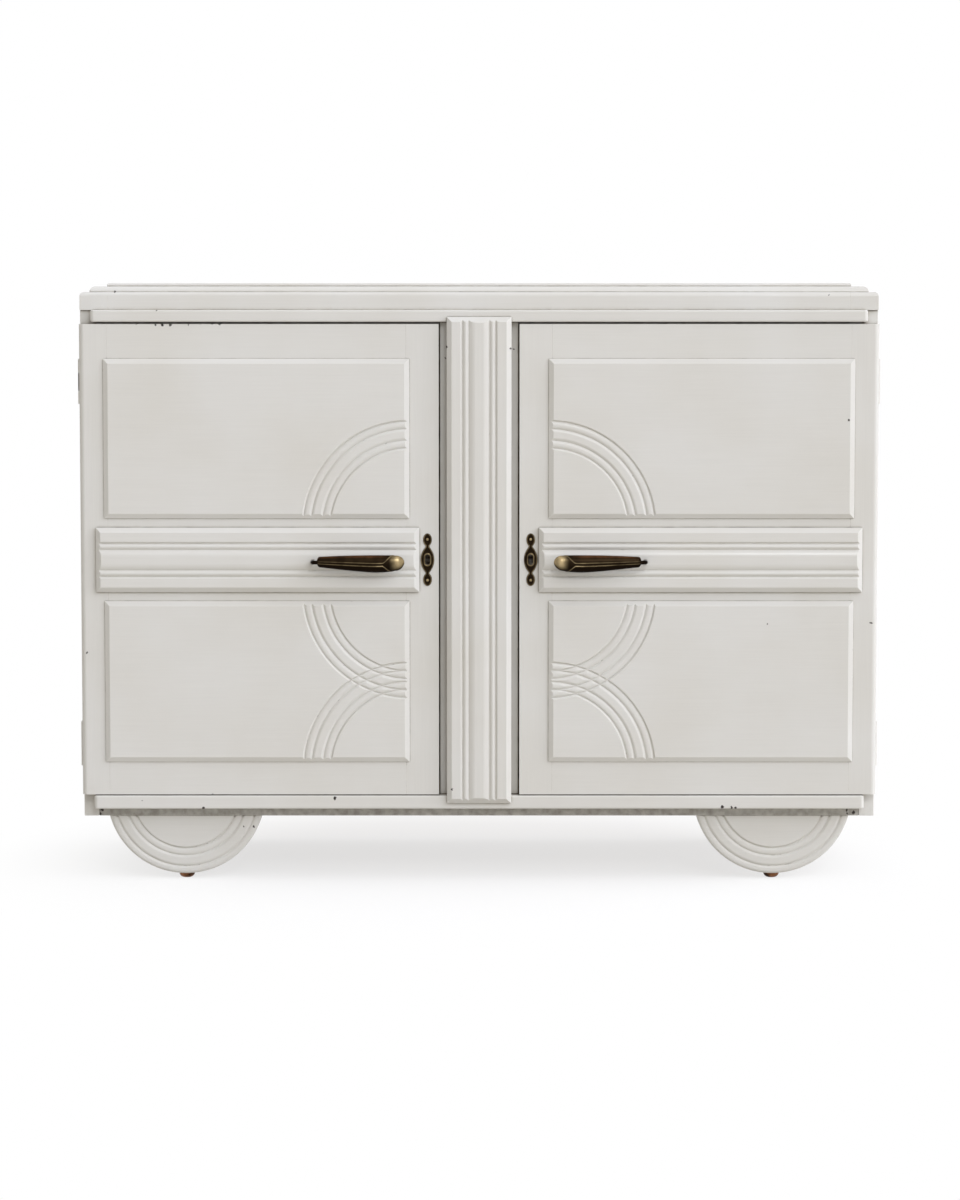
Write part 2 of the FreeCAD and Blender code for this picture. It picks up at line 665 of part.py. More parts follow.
def raised_panel(z, ring_heights):
    """Panel tongued into the frame, with a bevelled field lapping over it and its carved rings."""
    lip = DOOR_FACE - PANEL_STEP
    front = lip - PANEL_BEVEL_DEPTH
    across = (PANEL_INNER, PANEL_OUTER)
    margin = PANEL_LAP + FIT
    tongue_x = (across[0] + margin, across[1] - margin)
    tongue = box(tongue_x, (DOOR_FACE, DOOR_FACE + PANEL_TONGUE), (z[0] + margin, z[1] - margin))
    step = box(across, (lip, DOOR_FACE), z)
    bevel = PANEL_BEVEL_WIDTH
    field = Part.makeWedge(
        across[0] + bevel, front, z[0] + bevel, z[0], across[0],
        across[1] - bevel, lip, z[1] - bevel, z[1], across[1])
    panel = step.fuse([field, tongue]).removeSplitter()
    for height in ring_heights:
        panel = panel.cut(ring_cutter(height, front))
    return panel


def door_band():
    """Reeded moulding across the middle rail and both stiles."""
    bar = moulding(BAND_OUTER - BAND_INNER)
    bar.rotate(V(0, 0, 0), BACK, 90)
    return bar.translated(V(BAND_INNER, DOOR_FACE, KEY_Z)).cut(pull_screws(SCREW_CLEARANCE))


def lock_case():
    """Rim lock body with the bolt's channel, the keyhole in its front plate and its screw holes."""
    across = (CASE_INNER, CASE_INNER + LOCK_WIDTH)
    depth = (DOOR_BACK, DOOR_BACK + LOCK_DEPTH)
    body = box(across, depth, around(KEY_Z + LOCK_RAISE, LOCK_HEIGHT))
    channel = bolt(BOLT_CLEARANCE)
    key = keyhole((DOOR_BACK, DOOR_BACK + KEYHOLE_PLATE))
    return body.cut([channel, key] + lock_screws(SCREW_CLEARANCE))


def bolt(grow=0.0):
    """Drawn bolt with its tip level with the case, or its channel where grow is the clearance."""
    across = (CASE_INNER, CASE_INNER + BOLT_LENGTH + grow)
    return box(across, around(BOLT_Y, BOLT_THICKNESS + 2 * grow), around(BOLT_Z, BOLT_HEIGHT + 2 * grow))


def lock_screws(grow=0.0):
    """Four screws through the corners of the lock case into the stile."""
    seat_y = DOOR_BACK + LOCK_DEPTH
    across = around(CASE_INNER + LOCK_WIDTH / 2, LOCK_WIDTH - 2 * LOCK_SCREW_INSET)
    height = around(KEY_Z + LOCK_RAISE, LOCK_HEIGHT - 2 * LOCK_SCREW_INSET)
    seats = [V(x, seat_y, z) for x in across for z in height]
    return [cheese_screw(SCREW_RADIUS, seat, FRONT, LOCK_DEPTH + LOCK_SCREW_BITE, grow) for seat in seats]


def oval(width, height, centre_z):
    """Flat elliptical plate on the stile's face."""
    low, high = sorted((width / 2, height / 2))
    curve = Part.Ellipse(V(0, 0, 0), high, low).toShape()
    plate = Part.Face(Part.Wire(curve)).extrude(UP * ESCUTCHEON_THICKNESS)
    if height > width:
        plate.rotate(V(0, 0, 0), UP, 90)
    plate.rotate(V(0, 0, 0), RIGHT, 90)
    return plate.translated(V(KEY_X, DOOR_FACE, centre_z))


def lobe_heights():
    """Centres of the two end lobes."""
    return around(KEY_Z, ESCUTCHEON_HEIGHT - LOBE_HEIGHT)


def escutcheon():
    """Keyhole plate: an eye between two lobes, joined by narrow necks."""
    low, high = lobe_heights()
    depth = (DOOR_FACE - ESCUTCHEON_THICKNESS, DOOR_FACE)
    neck = box(around(KEY_X, NECK_WIDTH), depth, (low, high))
    shapes = [oval(LOBE_WIDTH, LOBE_HEIGHT, height) for height in (low, high)] + [neck]
    plate = oval(ESCUTCHEON_WIDTH, ESCUTCHEON_EYE_HEIGHT, KEY_Z).fuse(shapes).removeSplitter()
    return plate.cut([keyhole(depth)] + escutcheon_pins(SCREW_CLEARANCE))


def escutcheon_pins(grow=0.0):
    """Domed pins through the lobes."""
    pins = []
    face = DOOR_FACE - ESCUTCHEON_THICKNESS
    for height in lobe_heights():
        seat = V(KEY_X, face, height)
        head = Part.makeCone(ESCUTCHEON_PIN_HEAD, ESCUTCHEON_PIN_RADIUS, ESCUTCHEON_PIN_DOME, seat, FRONT)
        pins.append(head.fuse(rod(ESCUTCHEON_PIN_RADIUS + grow, seat, BACK, ESCUTCHEON_PIN_LENGTH + grow)))
    return pins


# Sections of the bow pull from its bulb to its narrow end: share of the length, of the full height
# and of the full depth, and drop of the top edge as a share of the full height
PULL_SECTIONS = (
    (0.0, 0.30, 0.40, 0.136),
    (0.03, 0.62, 0.68, 0.048),
    (0.10, 0.86, 0.90, 0.012),
    (0.22, 0.98, 0.985, 0.004),
    (0.34, 1.0, 1.0, 0.0),
    (0.46, 0.96, 0.97, 0.012),
    (0.66, 0.82, 0.85, 0.04),
    (0.90, 0.64, 0.68, 0.08),
    (0.98, 0.50, 0.56, 0.116),
    (1.0, 0.34, 0.40, 0.168),
)


def pull_section(share, height, depth, drop):
    """Elliptical outline across the pull at a share of its length."""
    tall = PULL_HEIGHT * height / 2
    deep = PULL_DEPTH * depth / 2
    curve = Part.Ellipse(V(0, 0, 0), tall, deep).toShape()
    curve.rotate(V(0, 0, 0), BACK, -90)
    centre = V(PULL_X + PULL_LENGTH * share, PULL_Y, PULL_Z + PULL_HEIGHT * (0.5 - drop) - tall)
    return Part.Wire(curve.translated(centre))


def pull():
    """Cast bow pull with a stud behind its bulb and a tail that turns back to the band."""
    bow = Part.makeLoft([pull_section(*section) for section in PULL_SECTIONS], True)
    stud = rod(PULL_STUD_RADIUS, V(STUD_X, PULL_Y, PULL_Z), BACK, BAND_CROWN - PULL_Y)
    tail_start = V(TAIL_X - PULL_TAIL_LENGTH - PULL_TAIL_RADIUS, PULL_Y, PULL_Z)
    tail = rod(PULL_TAIL_RADIUS, tail_start, RIGHT, TAIL_X - tail_start.x)
    elbow = Part.makeSphere(PULL_TAIL_RADIUS, V(TAIL_X, PULL_Y, PULL_Z))
    leg = rod(PULL_TAIL_RADIUS, V(TAIL_X, PULL_Y, PULL_Z), BACK, BAND_CROWN - PULL_Y)
    return bow.fuse([stud, tail, elbow, leg]).removeSplitter().cut(pull_screws(SCREW_CLEARANCE))


def pull_screws(grow=0.0):
    """Screws from inside the door into the two feet of the pull."""
    length = DOOR_THICKNESS + MOULDING_THICKNESS + PULL_SCREW_BITE
    seats = [V(x, DOOR_BACK, PULL_Z) for x in (STUD_X, TAIL_X)]
    return [cheese_screw(PULL_SCREW_RADIUS, seat, FRONT, length, grow) for seat in seats]


os.makedirs("parts", exist_ok=True)

# Carcass boards
save_pair("side", side_panel())
save("bottom_board", box((-INNER, INNER), (0, BACK_FACE), (FLOOR_Z, INSIDE_Z)))
save("centre_partition", partition())
save("centre_post", centre_post())
save("post_moulding", post_moulding())
save("front_top_rail", box((-INNER, INNER), (0, RAIL_THICKNESS), (TOP_RAIL_Z, TOP_Z)))
save("back_top_rail", box((-INNER, INNER), (BACK_FACE - RAIL_THICKNESS, BACK_FACE), (TOP_RAIL_Z, TOP_Z)))
save("front_base_rail", box((-INNER, INNER), (0, RAIL_THICKNESS), (BASE_Z, FLOOR_Z)))
save("back_base_rail", box((-INNER, INNER), (BACK_FACE - RAIL_THICKNESS, BACK_FACE), (BASE_Z, FLOOR_Z)))
save("back_panel", box((-INNER, INNER), (BACK_FACE, DEPTH), (BASE_Z, TOP_Z)))
save("top_strip", strip((TOP_STRIP_Z, TOP_Z)))
save("bottom_strip", strip((LOW_STRIP_Z, LOW_STRIP_TOP)))
shelf_depth = (SHELF_SETBACK, BACK_FACE)
save_pair("shelf", box((PARTITION_THICKNESS / 2, INNER), shelf_depth, (SHELF_Z, SHELF_Z + SHELF_THICKNESS)))
save("shelf_cleats", *shelf_cleats(), *[mirrored(cleat) for cleat in shelf_cleats()])

# Stepped top
clamped_top = tier(0, (TOP_Z, MIDDLE_TIER_Z), TOP_EDGE_RADIUS)
clamp_line = HALF - END_CLAMP_WIDTH
end_clamp = clamped_top.common(box((clamp_line, HALF), (-TOP_OVERHANG, DEPTH), (TOP_Z, MIDDLE_TIER_Z)))
middle = box((-clamp_line, clamp_line), (-TOP_OVERHANG, DEPTH), (TOP_Z, MIDDLE_TIER_Z))
save("top_board", clamped_top.common(middle))
save("top_end_clamps", end_clamp, mirrored(end_clamp))
save("top_middle_tier", tier(MIDDLE_TIER_INSET, (MIDDLE_TIER_Z, UPPER_TIER_Z), MIDDLE_TIER_RADIUS))
crown_z = UPPER_TIER_Z + UPPER_TIER_THICKNESS
save("top_upper_tier", tier(UPPER_TIER_INSET, (UPPER_TIER_Z, crown_z), UPPER_TIER_RADIUS))

# Feet
save_pair("front_foot", disc_foot())
save_pair("rear_foot", rear_foot())
glide_depths = (FOOT_SETBACK + FOOT_THICKNESS / 2, sum(rear_foot_span()) / 2)
glides = [glide(y) for y in glide_depths]
save("foot_glides", *glides, *[mirrored(shape) for shape in glides])
save("foot_blocks", *foot_blocks(), *[mirrored(block) for block in foot_blocks()])

# Metalwork fixed to the carcass
carcass_leaves = at_hinges([hinge_leaf(1)])
pins = at_hinges([hinge_pin()])
carcass_screws = at_hinges(leaf_screws(1)) + strike_screws()
save("carcass_hinge_leaves", *carcass_leaves, *[mirrored(leaf) for leaf in carcass_leaves])
save("hinge_pins", *pins, *[mirrored(pin) for pin in pins])
save("strike_plates", strike_plate(), mirrored(strike_plate()))
save("carcass_screws", *carcass_screws, *[mirrored(screw) for screw in carcass_screws])

# Doors
save_pair("door_hinge_stile", hinge_stile())
save_pair("door_lock_stile", lock_stile())
for rail, span in RAILS.items():
    save_pair("door_" + rail, door_rail(span))
save_pair("door_upper_panel", raised_panel((HIGH_PANEL_Z, HIGH_PANEL_TOP), [BAND_TOP]))
low_rings = [BAND_Z, LOW_PANEL_Z - LOW_RING_DROP]
save_pair("door_lower_panel", raised_panel((LOW_PANEL_Z, LOW_PANEL_TOP), low_rings))
save_pair("door_band", door_band())
save_pair("door_hinge_leaves", *at_hinges([hinge_leaf(-1)]))
save_pair("door_screws", *at_hinges(leaf_screws(-1)), *lock_screws(), *pull_screws())
save_pair("door_pull", pull())
save_pair("escutcheon", escutcheon())
save_pair("escutcheon_pins", *escutcheon_pins())
save_pair("lock_case", lock_case())
save_pair("lock_bolt", bolt())
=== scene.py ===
"""Looks of a worn, white-painted two-door sideboard, dressed over its fixed frame."""

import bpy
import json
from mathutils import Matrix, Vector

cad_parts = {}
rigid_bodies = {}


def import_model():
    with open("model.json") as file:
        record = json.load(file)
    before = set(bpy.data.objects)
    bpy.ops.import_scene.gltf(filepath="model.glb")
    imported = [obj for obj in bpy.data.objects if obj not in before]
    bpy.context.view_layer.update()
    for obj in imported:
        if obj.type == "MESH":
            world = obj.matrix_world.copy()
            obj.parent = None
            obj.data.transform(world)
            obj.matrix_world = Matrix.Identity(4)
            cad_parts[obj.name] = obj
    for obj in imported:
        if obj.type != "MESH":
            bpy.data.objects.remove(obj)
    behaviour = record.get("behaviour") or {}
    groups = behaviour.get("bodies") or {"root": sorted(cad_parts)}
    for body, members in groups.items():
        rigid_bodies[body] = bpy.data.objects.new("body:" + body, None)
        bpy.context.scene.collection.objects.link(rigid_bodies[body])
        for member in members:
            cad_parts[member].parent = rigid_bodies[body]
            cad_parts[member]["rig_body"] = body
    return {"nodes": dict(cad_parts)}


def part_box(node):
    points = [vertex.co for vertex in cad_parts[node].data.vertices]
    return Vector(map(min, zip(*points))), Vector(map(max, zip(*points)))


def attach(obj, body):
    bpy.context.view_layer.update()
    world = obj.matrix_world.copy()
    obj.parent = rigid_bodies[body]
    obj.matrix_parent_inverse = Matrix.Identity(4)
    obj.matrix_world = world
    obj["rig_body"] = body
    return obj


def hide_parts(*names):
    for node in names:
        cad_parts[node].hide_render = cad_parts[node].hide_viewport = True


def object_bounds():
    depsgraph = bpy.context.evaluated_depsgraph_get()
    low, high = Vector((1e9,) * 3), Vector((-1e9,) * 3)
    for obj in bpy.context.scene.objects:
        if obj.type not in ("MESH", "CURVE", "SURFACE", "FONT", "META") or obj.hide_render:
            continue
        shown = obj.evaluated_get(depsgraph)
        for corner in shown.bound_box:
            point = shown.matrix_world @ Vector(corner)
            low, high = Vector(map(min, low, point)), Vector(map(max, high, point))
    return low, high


bl_info = {
    "name": "Painted sideboard",
    "version": (1, 0, 0),
    "blender": (4, 5, 0),
    "location": "3D View > Sidebar > Sideboard",
    "description": "Dresses a two-door sideboard in worn brushed paint, bare wood and old cast brass",
    "category": "Object",
}

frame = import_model()

import json
import math

import bmesh
import bpy
from bpy.props import FloatProperty, FloatVectorProperty, PointerProperty
from bpy.types import Operator, Panel, PropertyGroup
from mathutils import Euler, Matrix, Vector

CAD_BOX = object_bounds()
MM = 0.001
X_AXIS, Y_AXIS, Z_AXIS = range(3)
QUARTER_TURN = math.radians(90)

# Places read from the frame
DOOR_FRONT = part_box("right_door_lock_stile")[0].y
DOOR_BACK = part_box("right_door_lock_stile")[1].y
PANEL_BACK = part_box("right_door_upper_panel")[1].y
CARCASS_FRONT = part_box("right_side")[0].y
INSIDE_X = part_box("bottom_board")[1].x
INSIDE_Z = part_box("bottom_board")[0].z
UNDER_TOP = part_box("right_side")[1].z
BARREL_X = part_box("right_side")[1].x
SIDES = {"left": -1, "right": 1}

# How finely copies of the frame's pieces and the castings are merged, and how edges are shaded and rounded
MERGE = 0.002 * MM
CAST_MERGE = 0.01 * MM
FLAT_ANGLE = math.radians(0.2)
SHARP_ANGLE = math.radians(31.4)
ROUND_STEPS = 3


def linear(code):
    """Linear colour of an sRGB hex code."""
    shares = [int(code[start:start + 2], 16) / 255 for start in (1, 3, 5)]
    return tuple(s / 12.92 if s <= 0.04045 else ((s + 0.055) / 1.055) ** 2.4 for s in shares)


def per(size):
    """Pattern scale that repeats about once in a size given in millimetres."""
    return 1 / (size * MM)


# Settings that a user would change

def tint(name, description, code):
    """Colour setting, with its default as an sRGB hex code."""
    return FloatVectorProperty(name=name, description=description, subtype="COLOR", size=3,
                               default=linear(code))


def length(name, description, size):
    """Length setting, with its default in metres."""
    return FloatProperty(name=name, description=description, unit="LENGTH", default=size)


class PaintFinish(PropertyGroup):
    """Brushed oil paint and its wear."""
    colour: tint("Paint", "Fresh tone of the warm off-white paint", "#DAD9D5")
    aged: tint("Aged tone", "Slightly yellowed tone the paint drifts to", "#D6D4CE")
    # Painted highlight: this lighter tone lies along the convex edges
    edge_highlight: tint("Edges", "Cleaner, thicker paint along the edges", "#F2F0EA")
    # Dirt with painted shade: this colour darkens grooves and corners by how enclosed they are
    grime_and_shade: tint("Grime", "Dirt that settles in grooves and corners", "#A3967F")
    # Painted shade with grey dirt: this colour lies all over the base rail
    soil_and_shade: tint("Soil", "Grey dirt that sweeping left on the base rail", "#8B877E")
    # Dirt with painted shade: this colour darkens narrow joints and corners
    crevice_dirt_and_shade: tint("Crevices", "Brown dirt caught in joints and corners", "#4E4336")
    # Painted shade: near black, laid where the gaps are deepest
    gap_shade: tint("Soot", "Dark dirt deep in the gaps, where no brush reached", "#1C1815")
    chip: tint("Chips", "Dark old finish under flaked paint", "#2B231D")
    edge: length("Edge rounding", "Rounding that thick paint leaves on board edges", 1.1 * MM)
    joint: length("Joint rounding", "Rounding left at tight glued joints", 0.35 * MM)
    carving: length("Carving rounding", "Rounding left on reeded feet and mouldings", 0.5 * MM)
    gloss: FloatProperty(name="Roughness", description="Roughness of the dulled gloss paint",
                         min=0, max=1, default=0.26)


class WoodFinish(PropertyGroup):
    """Unpainted wood inside the sideboard and on its back."""
    light: tint("Early wood", "Lighter bands of the aged softwood", "#AD8A60")
    dark: tint("Late wood", "Darker bands of the aged softwood", "#90704A")
    edge: length("Edge rounding", "Rounding of planed and handled edges", 0.8 * MM)


class MetalFinish(PropertyGroup):
    """Old cast brass, copper-plated glides and dull steel."""
    patina: tint("Patina", "Dark brown skin of the old brass", "#17100A")
    # The tarnish colour lies on the top and front of the pulls, leaving their undersides dark as painted
    # shade
    tarnish: tint("Tarnish", "Olive brown that shows through the dark skin", "#2F2417")
    # The brass colour also makes the painted highlight on the bulbs of the pulls
    brass: tint("Rubbed brass", "Brass where hands keep it bright", "#C4AE84")
    # On the pulls this colour is partly a painted sheen along their upper edges
    copper: tint("Copper plate", "Worn plating of the foot glides", "#7E553A")
    steel: tint("Steel", "Dull steel of the locks and screws", "#6E6A64")
    rust: tint("Rust", "Brown oxide on the steel", "#3A2A20")


class BrassShape(PropertyGroup):
    """Cast shapes of the pulls and the keyhole plates."""
    bow_depth: length("Bow depth", "From front to back of the pull's bow", 14 * MM)
    tail_length: length("Tail length", "Thin tail past the narrow end of the bow", 9.5 * MM)
    tail_radius: length("Tail radius", "Radius of the thin tail", 2.8 * MM)
    stud_radius: length("Stud radius", "Radius of the stud behind the bulb", 4.5 * MM)
    petal_lift: length("Petal lift", "How far the petals stand over the bulb", 0.55 * MM)
    petal_lip: length("Petal lip", "Height of the lip along the petals' edges", 0.3 * MM)
    plate: length("Plate", "Thickness of the keyhole plates between their rims", 1.0 * MM)
    rim: length("Rim", "Height of the rims round the keyhole plates", 0.6 * MM)


class StudioSetup(PropertyGroup):
    """Camera and light of the studio picture."""
    distance: length("Camera distance", "From the camera to the door fronts", 4.8)
    offset: length("Camera offset", "How far right of the middle the camera stands", 1.3 * MM)
    height: length("Camera height", "Height of the camera over the floor", 0.7802)
    pitch: FloatProperty(name="Camera pitch", description="Tilt of the camera below level",
                         subtype="ANGLE", default=math.radians(4.412))
    lens: FloatProperty(name="Lens", description="Focal length in millimetres on a 36 mm picture height",
                        default=100.07)
    front: FloatProperty(name="Front lamp", description="Power of the soft lamp in front, in watts",
                         default=115.0)
    front_colour: FloatVectorProperty(name="Front colour", description="Slightly cool daylight in front",
                                      subtype="COLOR", size=3, default=(0.97, 1.0, 1.04))
    window: FloatProperty(name="Window light", description="Brightness of the broad window on the right",
                          default=3.2)
    window_colour: FloatVectorProperty(name="Window colour", description="Slightly cool window daylight",
                                       subtype="COLOR", size=3, default=(0.97, 1.0, 1.1))
    room: FloatProperty(name="Room light", description="Brightness of the light from all round",
                        default=0.4)
    room_colour: FloatVectorProperty(name="Room colour", description="Slightly warm light of the room",
                                     subtype="COLOR", size=3, default=(1.05, 0.99, 0.92))
    floor: tint("Floor", "Colour of the plain studio floor", "#FAFAFA")
    floor_bounce: tint("Floor bounce", "Colour of light the floor throws back", "#C8C3B8")


# Nodes and materials

# Colour inputs of the Mix node, by their places
MIX_A = 6
MIX_B = 7


def fill(tree, node, inputs):
    """Give a node's inputs values, colours, or links from sockets or from other nodes' outputs in use."""
    for name, value in inputs.items():
        socket = node.inputs[name]
        if isinstance(value, bpy.types.Node):
            value = next(output for output in value.outputs if output.enabled)
        if isinstance(value, bpy.types.NodeSocket):
            tree.links.new(value, socket)
        else:
            socket.default_value = (*value, 1.0) if socket.type == "RGBA" else value


def add(tree, kind, inputs=None, **settings):
    """Add one shader node with its settings and its inputs."""
    node = tree.nodes.new("ShaderNode" + kind)
    for name, value in settings.items():
        setattr(node, name, value)
    fill(tree, node, inputs or {})
    return node


def started(name):
    """New material with its node tree, its main shader and the Object coordinates of the piece."""
    material = bpy.data.materials.new(name)
    material.use_nodes = True
    tree = material.node_tree
    shader = tree.nodes["Principled BSDF"]
    position = add(tree, "TexCoord").outputs["Object"]
    return material, tree, shader, position


# Paint chips that stand out: millimetres from the middle, millimetres up from the floor, and radius.
# The first list is on pieces brushed upright, the second on pieces brushed across.
UPRIGHT_CHIPS = (
    (-534.7, 330.1, 3.0), (-531.9, 321.4, 2.2), (-537.6, 333.0, 1.8), (-566.5, 333.0, 1.6),
    (566.1, 376.5, 1.8), (56.8, 388.3, 0.9), (56.8, 363.5, 1.0), (56.8, 337.3, 0.9),
    (-39.1, 136.9, 1.6), (-46.6, 774.0, 1.7), (-48.1, 757.8, 1.0), (45.4, 771.8, 1.2), (49.0, 770.5, 1.0),
)
LEVEL_CHIPS = (
    (-208.7, 122.3, 2.4), (-488.4, 119.4, 1.0), (-399.5, 107.1, 1.6), (-386.1, 127.4, 1.0),
    (352.2, 109.2, 1.9), (366.0, 107.9, 1.8), (372.0, 107.5, 1.8),
    (-554.4, 100.6, 2.8), (-553.4, 95.6, 3.0), (-549.0, 102.4, 2.2), (536.0, 101.2, 1.6), (536.2, 96.6, 1.6),
    (545.4, 97.6, 2.2), (-491.5, 807.3, 1.2), (-464.7, 805.4, 1.6), (-453.9, 805.4, 1.8),
    (-442.9, 805.0, 1.6), (-416.8, 805.4, 1.0), (-382.9, 807.3, 1.4), (-372.2, 807.3, 1.5),
    (530.4, 669.5, 2.0), (415.4, 375.6, 1.2), (-524.9, 852.8, 1.2), (-461.9, 826.2, 1.2), (503.4, 848.5, 1.0),
    (-328.6, 76.1, 1.8), (-342.8, 76.4, 1.5),
)
# Sizes of the patterns in millimetres. Brush streaks, pores and casting pits are really finer than half
# a millimetre, and are drawn coarser so that they show.
GRAIN_WIDTH = 7
GRAIN_RUN = 220
PORE_WIDTH = 0.9
PORE_RUN = 40
TONE_DRIFT = 160
BRISTLE_WIDTH = 2.2
BRISTLE_RUN = 90
DIRT_AND_SHADE_PATCH = 9
DIRT_AND_SHADE_DASH = 26
NICK_SPACING = 6
CHIP_RAGGEDNESS = 3.5
BRASS_BLOTCH = 12
BRASS_PIT = 1.4
COAT_RAGGEDNESS = 7
METAL_BLOTCH = 8
# How far from a corner dirt and painted shade reach (on the bare wood painted shade only), how far from an
# edge paint wears and the painted highlight lies, and how high the textures stand
GROOVE_REACH = 9 * MM
CREVICE_REACH = 4 * MM
WOOD_CORNER_REACH = 20 * MM
EDGE_REACH = 1.6 * MM
BRUSH_RELIEF = 0.12 * MM
GRAIN_RELIEF = 0.15 * MM
PIT_RELIEF = 0.04 * MM
# How far a chip's rim wanders, half the width of its edge, and slack round the faces of the inside
CHIP_WANDER = 6 * MM
CHIP_EDGE = 0.3 * MM
FACE_SLACK = 0.5 * MM
# Share of grey dirt with painted shade all over the base rail, and of the usual dirt and painted shade in the
# carving of the panels, where the dirt gets wiped
RAIL_SOIL_AND_SHADE = 0.9
PANEL_DIRT_AND_SHADE = 0.3
# Height up to which shoes and brooms have nicked the feet
KICK_HEIGHT = 70 * MM
# Middle of the one hinge knuckle that has lost its paint, and how far round it the metal is bare
BARE_KNUCKLE = (-BARREL_X, CARCASS_FRONT, 724 * MM)
KNUCKLE_REACH = 14 * MM
# Between which distances inside and outside a side's face the paint on the hinges ends
COAT_INSIDE = 6 * MM
COAT_OUTSIDE = 3 * MM
# Refraction of oil paint, roughness of chips, wood, steel and copper plate, and how much patches add to it
PAINT_IOR = 1.48
CHIP_ROUGHNESS = 0.7
WOOD_ROUGHNESS = 0.68
STEEL_ROUGHNESS = 0.4
COPPER_ROUGHNESS = 0.3
PATCH_DULLING = 0.25


def drawn_out(tree, position, along, width, run, detail, distortion=0.0):
    """Noise drawn out along one axis, whose streaks have a width and a run in millimetres."""
    stretch = [per(width)] * 3
    stretch[along] = per(run)
    fitted = add(tree, "Mapping", {"Vector": position, "Scale": stretch})
    return add(tree, "TexNoise", {"Vector": fitted, "Scale": 1.0, "Detail": detail, "Distortion": distortion})


def wood_grain(tree, position, along, wood):
    """Colour and height of planed softwood whose grain runs along one axis."""
    pore_depth = 0.35
    pore_middle = 0.17
    bands = drawn_out(tree, position, along, GRAIN_WIDTH, GRAIN_RUN, detail=4.0, distortion=0.6)
    pores = drawn_out(tree, position, along, PORE_WIDTH, PORE_RUN, detail=2.0)
    spread = add(tree, "MapRange", {"Value": bands, "From Min": 0.35, "From Max": 0.66})
    speck = add(tree, "Math", {0: pores, 1: pore_depth}, operation="MULTIPLY")
    height = add(tree, "Math", {0: spread, 1: speck}, operation="ADD")
    share = add(tree, "Math", {0: height, 1: pore_middle}, operation="SUBTRACT", use_clamp=True)
    tone = add(tree, "Mix", {0: share, MIX_A: wood.dark, MIX_B: wood.light}, data_type="RGBA")
    return tone, height


def corner_shade(tree, reach):
    """How open a point of the surface is: 1 in the open, less in grooves and corners."""
    return add(tree, "AmbientOcclusion", {"Distance": reach}, samples=8).outputs["AO"]


def edge_share(tree, radius):
    """How close a point is to an edge: 0 on flats, more within a radius of an edge."""
    rounded = add(tree, "Bevel", {"Radius": radius}, samples=4)
    true = add(tree, "NewGeometry").outputs["Normal"]
    likeness = add(tree, "VectorMath", {0: rounded, 1: true}, operation="DOT_PRODUCT")
    return add(tree, "Math", {0: 1.0, 1: likeness}, operation="SUBTRACT", use_clamp=True)


def chip_depth(tree, position, chips):
    """Distance to the rim of the nearest listed chip: below zero inside it."""
    ragged = add(tree, "TexNoise", {"Vector": position, "Scale": per(CHIP_RAGGEDNESS), "Detail": 3.0})
    centred = add(tree, "VectorMath", {0: ragged.outputs["Color"], 1: (0.5, 0.5, 0.5)}, operation="SUBTRACT")
    shift = add(tree, "VectorMath", {0: centred, 1: (CHIP_WANDER, 0, CHIP_WANDER)}, operation="MULTIPLY")
    flat = add(tree, "VectorMath", {0: position, 1: (1, 0, 1), 2: shift}, operation="MULTIPLY_ADD")
    nearest = 1.0
    for x, z, radius in chips:
        gap = add(tree, "VectorMath", {0: flat, 1: (x * MM, 0, z * MM)}, operation="DISTANCE")
        rim = add(tree, "Math", {0: gap, 1: radius * MM}, operation="SUBTRACT")
        nearest = add(tree, "Math", {0: rim, 1: nearest}, operation="MINIMUM")
    return nearest


def inside_share(tree, position):
    """1 on the faces that close up the inside of the sideboard, 0 on those outside."""
    parts = add(tree, "SeparateXYZ", {"Vector": position})
    x, y, z = (parts.outputs[axis] for axis in "XYZ")
    middle_z = (INSIDE_Z + UNDER_TOP) / 2
    share = add(tree, "Math", {0: y, 1: CARCASS_FRONT + FACE_SLACK}, operation="GREATER_THAN")
    for back in (DOOR_BACK, PANEL_BACK):
        at_back = add(tree, "Math", {0: y, 1: back, 2: FACE_SLACK}, operation="COMPARE")
        share = add(tree, "Math", {0: share, 1: at_back}, operation="MAXIMUM")
    for place, middle, reach in ((x, 0.0, INSIDE_X), (z, middle_z, middle_z - INSIDE_Z)):
        within = add(tree, "Math", {0: place, 1: middle, 2: reach + FACE_SLACK}, operation="COMPARE")
        share = add(tree, "Math", {0: share, 1: within}, operation="MULTIPLY")
    return share


def dirt_and_shade(tree, position, close, soil_and_shade, grooves):
    """Shares of the dirt with painted shade spread in grooves, of the dashes of it in crevices, and of the
    near-black painted shade in deep gaps.
    """
    openness = corner_shade(tree, GROOVE_REACH)
    closed = add(tree, "MapRange", {"Value": openness, "From Min": 0.8, "From Max": 0.3,
                                    "To Min": soil_and_shade, "To Max": 0.8 * grooves})
    patch = add(tree, "TexNoise", {"Vector": position, "Scale": per(DIRT_AND_SHADE_PATCH), "Detail": 4.0})
    uneven = add(tree, "MapRange", {"Value": patch, "From Min": 0.3, "From Max": 0.7, "To Min": 0.45})
    spread = add(tree, "Math", {0: closed, 1: uneven}, operation="MULTIPLY")
    # Dirt and painted shade: broken dashes where the surface is most enclosed
    narrow = add(tree, "MapRange", {"Value": close, "From Min": 0.74, "From Max": 0.38, "To Max": grooves})
    dashes = add(tree, "TexNoise", {"Vector": position, "Scale": per(DIRT_AND_SHADE_DASH), "Detail": 5.0})
    broken = add(tree, "MapRange", {"Value": dashes, "From Min": 0.42, "From Max": 0.6, "To Min": 0.45})
    crevice_darkening = add(tree, "Math", {0: narrow, 1: broken}, operation="MULTIPLY")
    # Painted shade: near black where the surface lies deep in a gap
    deep = add(tree, "MapRange", {"Value": openness, "From Min": 0.14, "From Max": 0.05})
    return spread, crevice_darkening, deep


